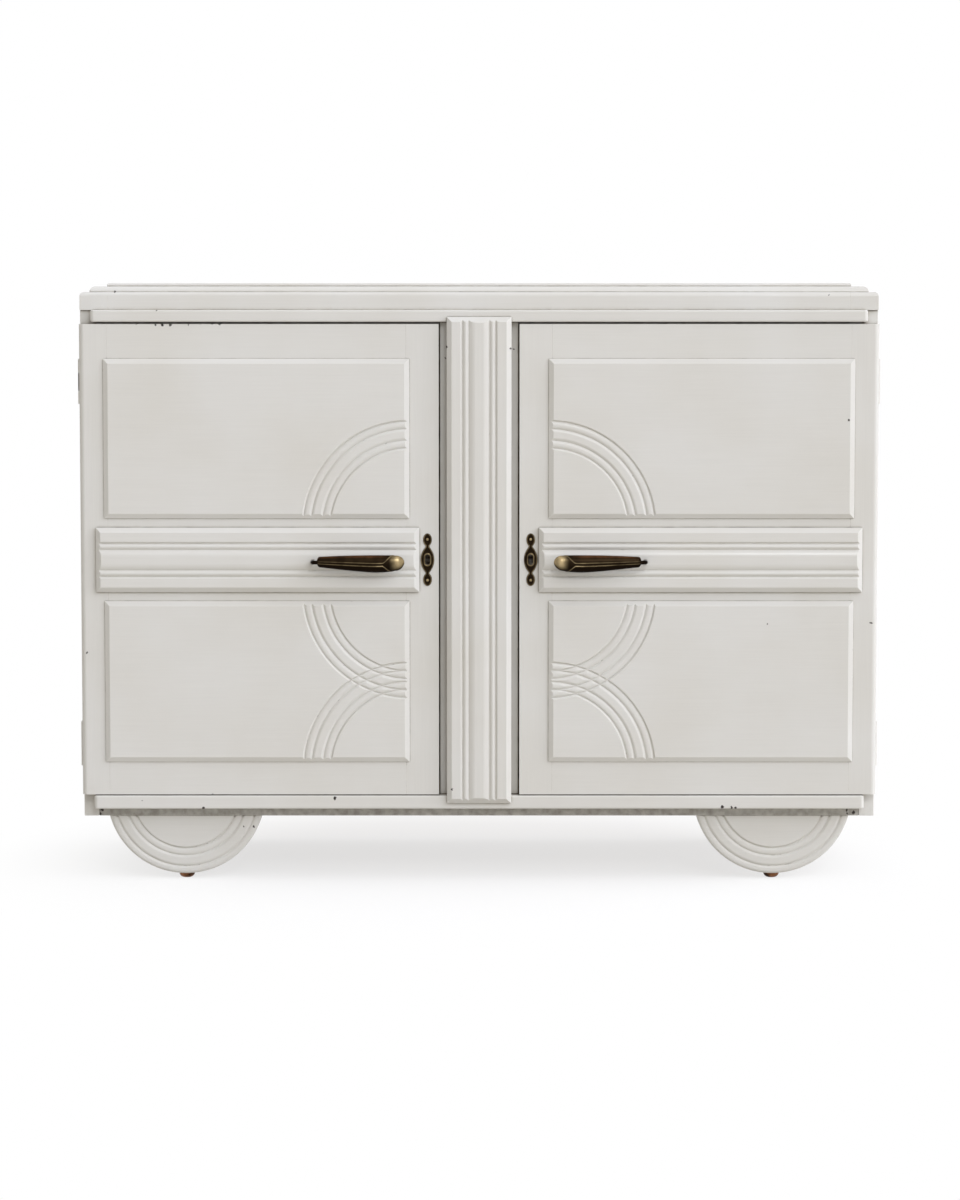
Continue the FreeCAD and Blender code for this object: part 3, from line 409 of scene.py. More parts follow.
def lost_paint(tree, position, at_edge, chips):
    """Share of the paint that is gone: nicks along the edges, more of them low down, and the listed chips."""
    specks = add(tree, "TexNoise", {"Vector": position, "Scale": per(NICK_SPACING), "Detail": 5.0})
    height = add(tree, "SeparateXYZ", {"Vector": position}).outputs["Z"]
    kicked = add(tree, "MapRange", {"Value": height, "From Min": KICK_HEIGHT, "From Max": 0.0,
                                    "To Max": 0.13})
    worn_low = add(tree, "Math", {0: specks, 1: kicked}, operation="ADD")
    rare = add(tree, "MapRange", {"Value": worn_low, "From Min": 0.685, "From Max": 0.705})
    nicks = add(tree, "Math", {0: at_edge, 1: rare}, operation="MULTIPLY")
    depth = chip_depth(tree, position, chips)
    flakes = add(tree, "MapRange", {"Value": depth, "From Min": CHIP_EDGE, "From Max": -CHIP_EDGE})
    return add(tree, "Math", {0: nicks, 1: flakes}, operation="MAXIMUM")


def brushed_paint(name, scene, along, chips, soil_and_shade=0.0, grooves=1.0):
    """Old oil paint laid on with a brush along one axis.

    Thick, slightly yellowed and dulled, so it shows soft streaks, dirt with painted shade in the grooves,
    near-black painted shade in deep gaps, a painted highlight along convex edges, small nicks along its
    edges and a few dark chips. Inside, the wood was left bare. A share of grey dirt with painted shade lies
    on it all over, and grooves tells how much of the dirt and painted shade its grooves have kept.
    """
    paint = scene.sideboard_paint
    material, tree, shader, position = started(name)
    drift = add(tree, "TexNoise", {"Vector": position, "Scale": per(TONE_DRIFT), "Detail": 3.0})
    lean = add(tree, "MapRange", {"Value": drift, "From Min": 0.35, "From Max": 0.7})
    tone = add(tree, "Mix", {0: lean, MIX_A: paint.colour, MIX_B: paint.aged}, data_type="RGBA")
    streaks = drawn_out(tree, position, along, BRISTLE_WIDTH, BRISTLE_RUN, detail=3.0)
    streak_tone = add(tree, "MapRange", {"Value": streaks, "To Min": 0.965, "To Max": 1.03})
    tone = add(tree, "Mix", {0: 1.0, MIX_A: tone, MIX_B: streak_tone}, data_type="RGBA",
               blend_type="MULTIPLY")

    close = corner_shade(tree, CREVICE_REACH)
    spread, crevice_darkening, deep = dirt_and_shade(tree, position, close, soil_and_shade, grooves)
    edges = edge_share(tree, EDGE_REACH)
    at_edge = add(tree, "MapRange", {"Value": edges, "From Min": 0.02, "From Max": 0.12})
    # Painted highlight: a lighter tone on convex edges, away from corners
    convex = add(tree, "MapRange", {"Value": close, "From Min": 0.8, "From Max": 1.0, "To Max": 0.6})
    edge_highlight = add(tree, "Math", {0: at_edge, 1: convex}, operation="MULTIPLY")
    lost = lost_paint(tree, position, at_edge, chips)
    bare = inside_share(tree, position)
    grain, _ = wood_grain(tree, position, along, scene.sideboard_wood)
    # Painted light among the layers: dirt with painted shade in grooves and crevices, painted shade in deep
    # gaps, and a painted highlight on convex edges
    layers = (
        (spread, paint.soil_and_shade if soil_and_shade else paint.grime_and_shade), (crevice_darkening, paint.crevice_dirt_and_shade), (deep, paint.gap_shade),
        (edge_highlight, paint.edge_highlight), (lost, paint.chip), (bare, grain),
    )
    for share, colour in layers:
        tone = add(tree, "Mix", {0: share, MIX_A: tone, MIX_B: colour}, data_type="RGBA")

    worn = add(tree, "Math", {0: lost, 1: bare}, operation="MAXIMUM")
    dull = add(tree, "MapRange", {"Value": worn, "To Min": paint.gloss, "To Max": CHIP_ROUGHNESS})
    level = add(tree, "Math", {0: streaks, 1: lost}, operation="SUBTRACT")
    relief = add(tree, "Bump", {"Height": level, "Distance": BRUSH_RELIEF, "Strength": 0.5})
    fill(tree, shader, {"Base Color": tone, "Roughness": dull, "Normal": relief, "IOR": PAINT_IOR})
    return material


def bare_softwood(name, scene, along):
    """Planed softwood left unpainted and browned with age, with soft bands and fine pores along its grain."""
    material, tree, shader, position = started(name)
    tone, height = wood_grain(tree, position, along, scene.sideboard_wood)
    # Painted shade: the wood darkens towards corners and recesses
    openness = corner_shade(tree, WOOD_CORNER_REACH)
    shade = add(tree, "MapRange", {"Value": openness, "To Min": 0.55, "To Max": 1.0})
    tone = add(tree, "Mix", {0: 1.0, MIX_A: tone, MIX_B: shade}, data_type="RGBA", blend_type="MULTIPLY")
    relief = add(tree, "Bump", {"Height": height, "Distance": GRAIN_RELIEF, "Strength": 0.5})
    fill(tree, shader, {"Base Color": tone, "Normal": relief, "Roughness": WOOD_ROUGHNESS})
    return material


def patinated_brass(name, scene):
    """Cast brass under a dark brown skin.

    Hands have thinned that skin on top and worn it bright along its ridges and rims and to a copper tone on
    the upper edge; that copper tone is partly a painted sheen, the dark underside below the thinned top
    partly painted shade, and the bright bulb of a pull partly a painted highlight. The castings carry these
    shares as attributes, because they follow the cast shape.
    """
    metal = scene.sideboard_metal
    material, tree, shader, position = started(name)
    blotch = add(tree, "TexNoise", {"Vector": position, "Scale": per(BRASS_BLOTCH), "Detail": 4.0})
    uneven = add(tree, "MapRange", {"Value": blotch, "From Min": 0.3, "From Max": 0.62, "To Min": 0.3})
    tone = metal.patina
    for attribute, colour in (("handled_and_shade", metal.tarnish), ("coppery", metal.copper), ("rubbed_and_highlight", metal.brass)):
        amount = add(tree, "Attribute", attribute_name=attribute).outputs["Fac"]
        share = add(tree, "Math", {0: uneven, 1: amount}, operation="MULTIPLY")
        tone = add(tree, "Mix", {0: share, MIX_A: tone, MIX_B: colour}, data_type="RGBA")
    dull = add(tree, "MapRange", {"Value": blotch, "To Min": 0.24, "To Max": 0.4})
    pits = add(tree, "TexNoise", {"Vector": position, "Scale": per(BRASS_PIT), "Detail": 2.0})
    relief = add(tree, "Bump", {"Height": pits, "Distance": PIT_RELIEF, "Strength": 0.25})
    fill(tree, shader, {"Base Color": tone, "Roughness": dull, "Normal": relief, "Metallic": 1.0})
    return material


def painted_steel(name, scene):
    """Steel hinges: the barrels outside were painted over with the doors, and the leaves inside left bare."""
    material, tree, shader, position = started(name)
    across = add(tree, "SeparateXYZ", {"Vector": position}).outputs["X"]
    out = add(tree, "Math", {0: across}, operation="ABSOLUTE")
    ragged = add(tree, "TexNoise", {"Vector": position, "Scale": per(COAT_RAGGEDNESS), "Detail": 4.0})
    edge = add(tree, "MapRange", {"Value": ragged, "To Min": BARREL_X - COAT_INSIDE,
                                  "To Max": BARREL_X + COAT_OUTSIDE})
    outside = add(tree, "Math", {0: out, 1: edge}, operation="GREATER_THAN")
    off_knuckle = add(tree, "VectorMath", {0: position, 1: BARE_KNUCKLE}, operation="DISTANCE")
    kept = add(tree, "Math", {0: off_knuckle, 1: KNUCKLE_REACH}, operation="GREATER_THAN")
    coated = add(tree, "Math", {0: outside, 1: kept}, operation="MULTIPLY")
    metal = scene.sideboard_metal
    steel = add(tree, "Mix", {0: ragged, MIX_A: metal.steel, MIX_B: metal.rust}, data_type="RGBA")
    tone = add(tree, "Mix", {0: coated, MIX_A: steel, MIX_B: scene.sideboard_paint.aged}, data_type="RGBA")
    bare = add(tree, "Math", {0: 1.0, 1: coated}, operation="SUBTRACT")
    fill(tree, shader, {"Base Color": tone, "Metallic": bare, "Roughness": STEEL_ROUGHNESS})
    return material


def worn_metal(name, scene, bright, dark, roughness):
    """Plain metal that has dulled in patches from a bright colour of the settings to a dark one."""
    metal = scene.sideboard_metal
    material, tree, shader, position = started(name)
    blotch = add(tree, "TexNoise", {"Vector": position, "Scale": per(METAL_BLOTCH), "Detail": 5.0})
    share = add(tree, "MapRange", {"Value": blotch, "From Min": 0.4, "From Max": 0.68})
    colours = {MIX_A: getattr(metal, bright), MIX_B: getattr(metal, dark)}
    tone = add(tree, "Mix", {0: share, **colours}, data_type="RGBA")
    dull = add(tree, "MapRange", {"Value": share, "To Min": roughness, "To Max": roughness + PATCH_DULLING})
    fill(tree, shader, {"Base Color": tone, "Roughness": dull, "Metallic": 1.0})
    return material


FINISHES = {
    "oil_paint_brushed_across": (brushed_paint, X_AXIS, LEVEL_CHIPS),
    "oil_paint_on_panels": (brushed_paint, X_AXIS, LEVEL_CHIPS, 0.0, PANEL_DIRT_AND_SHADE),
    "oil_paint_brushed_back": (brushed_paint, Y_AXIS, LEVEL_CHIPS),
    "oil_paint_brushed_up": (brushed_paint, Z_AXIS, UPRIGHT_CHIPS),
    "oil_paint_soiled_and_shaded": (brushed_paint, X_AXIS, LEVEL_CHIPS, RAIL_SOIL_AND_SHADE),
    "bare_softwood_across": (bare_softwood, X_AXIS),
    "bare_softwood_back": (bare_softwood, Y_AXIS),
    "bare_softwood_up": (bare_softwood, Z_AXIS),
    "patinated_cast_brass": (patinated_brass,),
    "copper_plate": (worn_metal, "copper", "patina", COPPER_ROUGHNESS),
    "painted_over_steel": (painted_steel,),
    "dull_steel": (worn_metal, "steel", "rust", STEEL_ROUGHNESS),
}


def finish(name):
    """A material of the sideboard by its name, made the first time it is asked for."""
    maker, *details = FINISHES[name]
    return bpy.data.materials.get(name) or maker(name, bpy.context.scene, *details)


# Pieces

# Stored shading of the frame's triangles, which no longer fits once they are merged
BROUGHT_NORMALS = "custom_normal"


def placed(name, data):
    """New object made of some data, linked into the scene."""
    thing = bpy.data.objects.new(name, data)
    bpy.context.scene.collection.objects.link(thing)
    return thing


def merged_copy(node):
    """A frame piece's triangles merged into whole flat faces."""
    mesh = bmesh.new()
    mesh.from_mesh(frame["nodes"][node].data)
    bmesh.ops.remove_doubles(mesh, verts=mesh.verts, dist=MERGE)
    bmesh.ops.dissolve_limit(mesh, angle_limit=FLAT_ANGLE, verts=mesh.verts, edges=mesh.edges)
    return mesh


def soften(mesh, width):
    """Round the sharp edges of a mesh."""
    sharp = [edge for edge in mesh.edges if edge.is_manifold and edge.calc_face_angle() > SHARP_ANGLE]
    bmesh.ops.bevel(mesh, geom=sharp, offset=width, offset_type="OFFSET", affect="EDGES",
                    segments=ROUND_STEPS, profile=0.5, material=-1, clamp_overlap=False)


def keep(mesh, name, material, *nodes):
    """Make a piece of a mesh in a finish: it rides with its first node, and stands for all of them, which are
    hidden.
    """
    for edge in mesh.edges:
        edge.smooth = edge.calc_face_angle(0.0) <= SHARP_ANGLE
    for face in mesh.faces:
        face.smooth = True
    data = bpy.data.meshes.new(name)
    mesh.to_mesh(data)
    mesh.free()
    data.materials.append(finish(material))
    brought = data.attributes.get(BROUGHT_NORMALS)
    if brought:
        data.attributes.remove(brought)
    piece = placed(name, data)
    even = piece.modifiers.new("Even shading", "WEIGHTED_NORMAL")
    even.keep_sharp = True
    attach(piece, frame["nodes"][nodes[0]]["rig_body"])
    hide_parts(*nodes)


def dress(node, material, width):
    """Give a wooden frame piece its finish and its softened edges."""
    mesh = merged_copy(node)
    soften(mesh, width)
    keep(mesh, node + "_wood", material, node)


def refinish(node, material):
    """Give a frame piece whose shape is right its own finish."""
    data = frame["nodes"][node].data
    data.materials.clear()
    data.materials.append(finish(material))


class SIDEBOARD_OT_carcass(Operator):
    """Paint the sides, the centre post, the strips and the rails of the carcass"""
    bl_idname = "sideboard.carcass"
    bl_label = "Painted carcass"

    def execute(self, context):
        paint = context.scene.sideboard_paint
        for node in ("left_side", "right_side", "centre_post"):
            dress(node, "oil_paint_brushed_up", paint.edge)
        for node in ("top_strip", "bottom_strip", "front_top_rail"):
            dress(node, "oil_paint_brushed_across", paint.edge)
        # The base rail's paint carries grey dirt with painted shade all over
        dress("front_base_rail", "oil_paint_soiled_and_shaded", paint.edge)
        return {"FINISHED"}


class SIDEBOARD_OT_top(Operator):
    """Paint the stepped top: the clamped board and its two tiers"""
    bl_idname = "sideboard.top"
    bl_label = "Stepped top"

    def execute(self, context):
        paint = context.scene.sideboard_paint
        dress("top_board", "oil_paint_brushed_across", paint.joint)
        dress("top_end_clamps", "oil_paint_brushed_back", paint.joint)
        for node in ("top_middle_tier", "top_upper_tier"):
            dress(node, "oil_paint_brushed_across", paint.joint)
        return {"FINISHED"}


class SIDEBOARD_OT_feet(Operator):
    """Paint the reeded front feet and the plain rear feet, and plate their glides"""
    bl_idname = "sideboard.feet"
    bl_label = "Feet and glides"

    def execute(self, context):
        paint = context.scene.sideboard_paint
        for side in SIDES:
            dress(f"{side}_front_foot", "oil_paint_brushed_across", paint.carving)
            dress(f"{side}_rear_foot", "oil_paint_brushed_across", paint.edge)
        refinish("foot_glides", "copper_plate")
        return {"FINISHED"}


class SIDEBOARD_OT_inside(Operator):
    """Finish the bare boards inside and at the back"""
    bl_idname = "sideboard.inside"
    bl_label = "Bare inside and back"

    def execute(self, context):
        wood = context.scene.sideboard_wood
        for node in ("bottom_board", "left_shelf", "right_shelf", "back_top_rail", "back_base_rail",
                     "foot_blocks"):
            dress(node, "bare_softwood_across", wood.edge)
        dress("shelf_cleats", "bare_softwood_back", wood.edge)
        for node in ("centre_partition", "back_panel"):
            dress(node, "bare_softwood_up", wood.edge)
        return {"FINISHED"}


class SIDEBOARD_OT_door_frames(Operator):
    """Paint the stiles and rails of both doors"""
    bl_idname = "sideboard.door_frames"
    bl_label = "Door frames"

    def execute(self, context):
        paint = context.scene.sideboard_paint
        for side in SIDES:
            for stile in ("hinge_stile", "lock_stile"):
                dress(f"{side}_door_{stile}", "oil_paint_brushed_up", paint.joint)
            for rail in ("top_rail", "middle_rail", "bottom_rail"):
                dress(f"{side}_door_{rail}", "oil_paint_brushed_across", paint.joint)
        return {"FINISHED"}


class SIDEBOARD_OT_panels(Operator):
    """Paint the raised door panels with their carved rings, whose edges stay crisp"""
    bl_idname = "sideboard.panels"
    bl_label = "Carved panels"

    def execute(self, context):
        for side in SIDES:
            for level in ("upper", "lower"):
                node = f"{side}_door_{level}_panel"
                keep(merged_copy(node), node + "_wood", "oil_paint_on_panels", node)
        return {"FINISHED"}


class SIDEBOARD_OT_mouldings(Operator):
    """Paint the reeded mouldings of the post and the doors"""
    bl_idname = "sideboard.mouldings"
    bl_label = "Reeded mouldings"

    def execute(self, context):
        paint = context.scene.sideboard_paint
        dress("post_moulding", "oil_paint_brushed_up", paint.carving)
        for side in SIDES:
            dress(f"{side}_door_band", "oil_paint_brushed_across", paint.carving)
        return {"FINISHED"}


# Pulls and keyhole plates

# Bow of a pull, in shares of its length from the bulb: where it is fullest, where its two ends start to
# round off, and where the two petals part round the bulb
FULLEST = 0.34
BULB_ROUNDING = 0.09
NARROW_ROUNDING = 0.033
PARTING = 0.25
# Shares of its full height that the bow loses towards the bulb and towards its narrow end, how late it does
# so, and how far its top edge drops
BULB_TAPER = 0.16
NARROW_TAPER = 0.42
TAPER_DELAY = 1.4
TOP_DROP = 0.1
# Edges of the petals, in degrees over and under the front of the bow: their places along the bow, how far
# they open per share of the length before the parting, and how roundly
UPPER_EDGE = 5
UPPER_OPENING = 49
UPPER_REACH = 0.085
UPPER_ROUND = 1.5
LOWER_EDGE = -15
LOWER_DRIFT = 6
LOWER_OPENING = 45
LOWER_REACH = 0.075
LOWER_ROUND = 1.3
# Half the widths of the petals' lips and of the slope up to them, and how fast this relief starts at the ends
LIP_WIDTH = 0.5 * MM
PETAL_SLOPE = 0.9 * MM
RELIEF_START = 4
# Wear and painted light of a pull: its strengths, and between which degrees over the front and shares of the
# length it sets in.
# Wear by hands lies on the top and front and leaves the underside dark as painted shade, the coppery band on
# the upper edge is partly a painted sheen, and the shine of the bulb is partly a painted highlight
HANDLED_AND_SHADE = 0.6
HANDLED_AND_SHADE_TURN = (-50, 25)
COPPERY = 0.55
COPPERY_TURN = (34, 66)
COPPERY_RUN = (0.15, 0.4)
BULB_RUB_AND_HIGHLIGHT = 0.9
BULB_TURN = (-70, 10)
BULB_RUN = (0.18, 0.08)
LIP_SHINE = 0.3
LIP_SHINE_AT_BULB = 0.4
LIP_RUN = (0.55, 0.2)
# Feet of a pull: the stud's distance from the bulb's end and how it flares, the bend of the tail in its
# radii, how far the tail lies over the middle of the pull and how far it reaches into the bow
STUD_PLACE = 30 * MM
STUD_FLARE = 0.8 * MM
STUD_WAIST = 0.3 * MM
TAIL_BEND = 1.6
TAIL_RISE = 2 * MM
TAIL_OVERLAP = 4 * MM
# Faces along and round the bow, round the stud and the tail, and along the tail's bend
BOW_RINGS = 170
BOW_SIDES = 180
STUD_SIDES = 40
TAIL_SIDES = 32
BEND_STEPS = 10


def smooth_step(low, high, value):
    """Ease from 0 at a first value to 1 at a second one."""
    share = min(max((value - low) / (high - low), 0.0), 1.0)
    return share * share * (3 - 2 * share)


def only(kind, items):
    """Those items of what a mesh operator gives back that are of one kind."""
    return [item for item in items if isinstance(item, kind)]


def bow_section(share):
    """Heights of the bow and of its middle, in shares of its full height, at a share of its length."""
    if share < FULLEST:
        height = 1 - BULB_TAPER * ((FULLEST - share) / FULLEST) ** 2
        top = 0.5
    else:
        past = (share - FULLEST) / (1 - FULLEST)
        height = 1 - NARROW_TAPER * past ** TAPER_DELAY
        top = 0.5 - TOP_DROP * past ** 2
    into_bulb = 1 - min(share / BULB_ROUNDING, 1.0)
    into_narrow = max(share - 1 + NARROW_ROUNDING, 0.0) / NARROW_ROUNDING
    rounding = math.sqrt(max(1 - into_bulb ** 2, 0)) * math.sqrt(max(1 - into_narrow ** 2, 0))
    return height * rounding, top - height / 2


def petal_edges(share):
    """Angles over and under the front of the bow where the two petals end, at a share of its length."""
    opening = max(PARTING - share, 0.0)
    drift = LOWER_DRIFT * max(share - PARTING, 0.0)
    upper = UPPER_EDGE + UPPER_OPENING * (opening / UPPER_REACH) ** UPPER_ROUND
    lower = LOWER_EDGE - drift - LOWER_OPENING * (opening / LOWER_REACH) ** LOWER_ROUND
    return math.radians(min(upper, 180)), math.radians(max(lower, -180))


def wear_layers(mesh):
    """Layers of a casting that say how worn by hands, how coppery and how bright each point is, with painted
    shade under a pull, a painted sheen on its upper edge and a painted highlight on its bulb.
    """
    return [mesh.verts.layers.float.new(name) for name in ("handled_and_shade", "coppery", "rubbed_and_highlight")]


def bow_casting(brass):
    """Bow of the right-hand pull: a rolled-up grid that swells, tapers and carries the petals."""
    low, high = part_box("right_door_pull")
    length = high.x - low.x - brass.tail_length
    full = high.z - low.z
    middle = Vector((low.x, low.y + brass.bow_depth / 2, (low.z + high.z) / 2))
    mesh = bmesh.new()
    handled_and_shade, coppery, rubbed_and_highlight = wear_layers(mesh)
    bmesh.ops.create_grid(mesh, x_segments=BOW_RINGS, y_segments=BOW_SIDES, size=0.5)
    for vert in mesh.verts:
        share = (1 - math.cos(math.pi * (vert.co.x + 0.5))) / 2
        angle = math.tau * vert.co.y
        degrees = math.degrees(angle)
        height, rise = bow_section(share)
        upper, lower = petal_edges(share)
        past = max(angle - upper, lower - angle) * full / 2
        lip = math.exp(-(past / LIP_WIDTH) ** 2)
        lift = brass.petal_lift * smooth_step(-PETAL_SLOPE, PETAL_SLOPE, past) + brass.petal_lip * lip
        swell = min(height * RELIEF_START, 1.0) * (lift - brass.petal_lift)
        vert.co = middle + Vector((
            share * length,
            -math.cos(angle) * (height * brass.bow_depth / 2 + swell),
            rise * full + math.sin(angle) * (height * full / 2 + swell),
        ))
        # Painted highlight on the bulb and painted shade under the bow, along with the wear of hands
        bulb = smooth_step(*BULB_RUN, share) * smooth_step(*BULB_TURN, degrees)
        lip_shine = LIP_SHINE + LIP_SHINE_AT_BULB * smooth_step(*LIP_RUN, share)
        vert[handled_and_shade] = HANDLED_AND_SHADE * smooth_step(*HANDLED_AND_SHADE_TURN, degrees)
        vert[coppery] = COPPERY * smooth_step(*COPPERY_TURN, degrees) * smooth_step(*COPPERY_RUN, share)
        vert[rubbed_and_highlight] = lip_shine * lip + BULB_RUB_AND_HIGHLIGHT * bulb
    bmesh.ops.remove_doubles(mesh, verts=mesh.verts, dist=CAST_MERGE)
    bmesh.ops.recalc_face_normals(mesh, faces=mesh.faces)
    return mesh


def add_pull_feet(mesh, brass):
    """Stud from the bulb to the band, and the thin tail that turns back to it."""
    low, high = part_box("right_door_pull")
    axis_y = low.y + brass.bow_depth / 2
    middle_z = (low.z + high.z) / 2
    reach = high.y - axis_y
    stud_middle = Matrix.Translation((low.x + STUD_PLACE, axis_y + reach / 2, middle_z))
    bmesh.ops.create_cone(mesh, cap_ends=True, segments=STUD_SIDES, radius1=brass.stud_radius + STUD_FLARE,
                          radius2=brass.stud_radius - STUD_WAIST, depth=reach,
                          matrix=stud_middle @ Matrix.Rotation(QUARTER_TURN, 4, "X"))

    bend = TAIL_BEND * brass.tail_radius
    tail_z = middle_z + TAIL_RISE
    start_x = high.x - brass.tail_length - TAIL_OVERLAP
    corner_x = high.x - brass.tail_radius - bend
    start = Matrix.Translation((start_x, axis_y, tail_z)) @ Matrix.Rotation(QUARTER_TURN, 4, "Y")
    ring = bmesh.ops.create_circle(mesh, cap_ends=True, segments=TAIL_SIDES, radius=brass.tail_radius,
                                   matrix=start)["verts"]
    edges = list({edge for vert in ring for edge in vert.link_edges})
    run = bmesh.ops.extrude_edge_only(mesh, edges=edges)["geom"]
    moved = only(bmesh.types.BMVert, run)
    bmesh.ops.translate(mesh, verts=moved, vec=(corner_x - start_x, 0, 0))
    elbow = bmesh.ops.spin(mesh, geom=moved + only(bmesh.types.BMEdge, run), axis=(0, 0, 1),
                           cent=(corner_x, axis_y + bend, tail_z), angle=QUARTER_TURN,
                           steps=BEND_STEPS, use_duplicate=False)["geom_last"]
    leg = bmesh.ops.extrude_edge_only(mesh, edges=only(bmesh.types.BMEdge, elbow))["geom"]
    bmesh.ops.translate(mesh, verts=only(bmesh.types.BMVert, leg), vec=(0, reach - bend, 0))
    bmesh.ops.edgeloop_fill(mesh, edges=only(bmesh.types.BMEdge, leg))
    bmesh.ops.remove_doubles(mesh, verts=mesh.verts, dist=CAST_MERGE)
    bmesh.ops.recalc_face_normals(mesh, faces=mesh.faces)


def place_on_side(mesh, sign):
    """Leave a right-hand piece as it is, or turn it into its left-hand mirror image."""
    if sign < 0:
        bmesh.ops.scale(mesh, vec=(-1, 1, 1), verts=mesh.verts)
        bmesh.ops.recalc_face_normals(mesh, faces=mesh.faces)


class SIDEBOARD_OT_pulls(Operator):
    """Cast the two bow pulls: a bulb in a sheath of petals, with a stud and a thin tail"""
    bl_idname = "sideboard.pulls"
    bl_label = "Bow pulls"

    def execute(self, context):
        brass = context.scene.sideboard_brass
        for side, sign in SIDES.items():
            mesh = bow_casting(brass)
            add_pull_feet(mesh, brass)
            place_on_side(mesh, sign)
            keep(mesh, f"{side}_bow_pull", "patinated_cast_brass", f"{side}_door_pull")
        return {"FINISHED"}


# Keyhole plate, in millimetres from the middle of its keyhole
EYE_HALF_WIDTH = 9.75
EYE_HALF_HEIGHT = 20.0
EYE_POINT = 0.75
LOBE_HALF_WIDTH = 6.25
LOBE_HALF_HEIGHT = 9.2
LOBE_RISE = 28.8
NECK_HALF_WIDTH = 2.6
KEYHOLE_RADIUS = 3.5
KEYHOLE_STRAIGHT = 4.0
# How crisply the eye, the neck and the lobe meet, and the small step over which the outline's slope is taken
OUTLINE_BLEND = 5
SLOPE_STEP = 0.05
# Relief of the plate in millimetres: rounding of its edge, places and half widths of its outer rim and of
# the rim round the keyhole, and rim and floor of the dish round each pin
EDGE_ROUNDING = 0.6
OUTER_RIM = 0.9
OUTER_RIM_WIDTH = 0.5
KEYHOLE_RIM = 1.0
KEYHOLE_RIM_WIDTH = 0.7
DISH_RIM = 4.6
DISH_FLOOR = 3.0
# Shares of the plate's thickness: left at its very edge, and taken away by a dish
EDGE_THICKNESS = 0.25
DISH_DEPTH = 0.45
# Wear of the plate on its flats and more on its rims, and shine of its rims and pins
PLATE_HANDLED = 0.4
RIM_HANDLED = 0.6
RIM_SHINE = 0.5
PIN_SHINE = 0.7
# Heights where the outline changes its curve, rows of faces between them and columns across
PLATE_HEIGHTS = (0.0, KEYHOLE_STRAIGHT + KEYHOLE_RADIUS, EYE_HALF_HEIGHT, LOBE_RISE + LOBE_HALF_HEIGHT)
PLATE_ROWS = 16
PLATE_COLUMNS = 24
ROW_SLACK = 1e-6
# Domed pins: how flat their heads are and how deep they sit, the radii of their shanks, and their faces
DOME_FLATNESS = 0.65
DOME_SEAT = 0.2 * MM
SHANK_RADIUS = 0.8 * MM
SHANK_POINT = 0.3 * MM
DOME_SIDES = 28
DOME_RINGS = 16
SHANK_SIDES = 16


def half_oval(width, height, rise):
    """Half the width of an oval at a rise over its middle."""
    return width * math.sqrt(max(1 - (rise / height) ** 2, 0))


def plate_half_width(height):
    """Half the width of the keyhole plate: an eye, a neck and a lobe that flow into each other."""
    eye = EYE_HALF_WIDTH * max(1 - (height / EYE_HALF_HEIGHT) ** 2, 0) ** EYE_POINT
    lobe = half_oval(LOBE_HALF_WIDTH, LOBE_HALF_HEIGHT, height - LOBE_RISE)
    neck = NECK_HALF_WIDTH if height < LOBE_RISE else 0.0
    return (eye ** OUTLINE_BLEND + lobe ** OUTLINE_BLEND + neck ** OUTLINE_BLEND) ** (1 / OUTLINE_BLEND)


def keyhole_half_width(height):
    """Half the width of the keyhole at a height over its middle."""
    return half_oval(KEYHOLE_RADIUS, KEYHOLE_RADIUS, max(height - KEYHOLE_STRAIGHT, 0.0))


def plate_relief(x, height):
    """Shares of the plate's thickness and of its rims' height at a point of its upper right quarter."""
    rise = plate_half_width(height + SLOPE_STEP) - plate_half_width(height - SLOPE_STEP)
    slope = rise / (2 * SLOPE_STEP)
    to_edge = (plate_half_width(height) - x) / math.sqrt(1 + slope ** 2)
    to_keyhole = math.hypot(x, max(height - KEYHOLE_STRAIGHT, 0.0)) - KEYHOLE_RADIUS
    to_pin = math.hypot(x, height - LOBE_RISE)
    rounding = math.sqrt(max(1 - (1 - min(to_edge / EDGE_ROUNDING, 1.0)) ** 2, 0))
    outer = math.exp(-((to_edge - OUTER_RIM) / OUTER_RIM_WIDTH) ** 2)
    inner = math.exp(-((to_keyhole - KEYHOLE_RIM) / KEYHOLE_RIM_WIDTH) ** 2)
    dish = DISH_DEPTH * smooth_step(DISH_RIM, DISH_FLOOR, to_pin)
    return (EDGE_THICKNESS + (1 - EDGE_THICKNESS) * rounding) * (1 - dish), max(outer, inner)


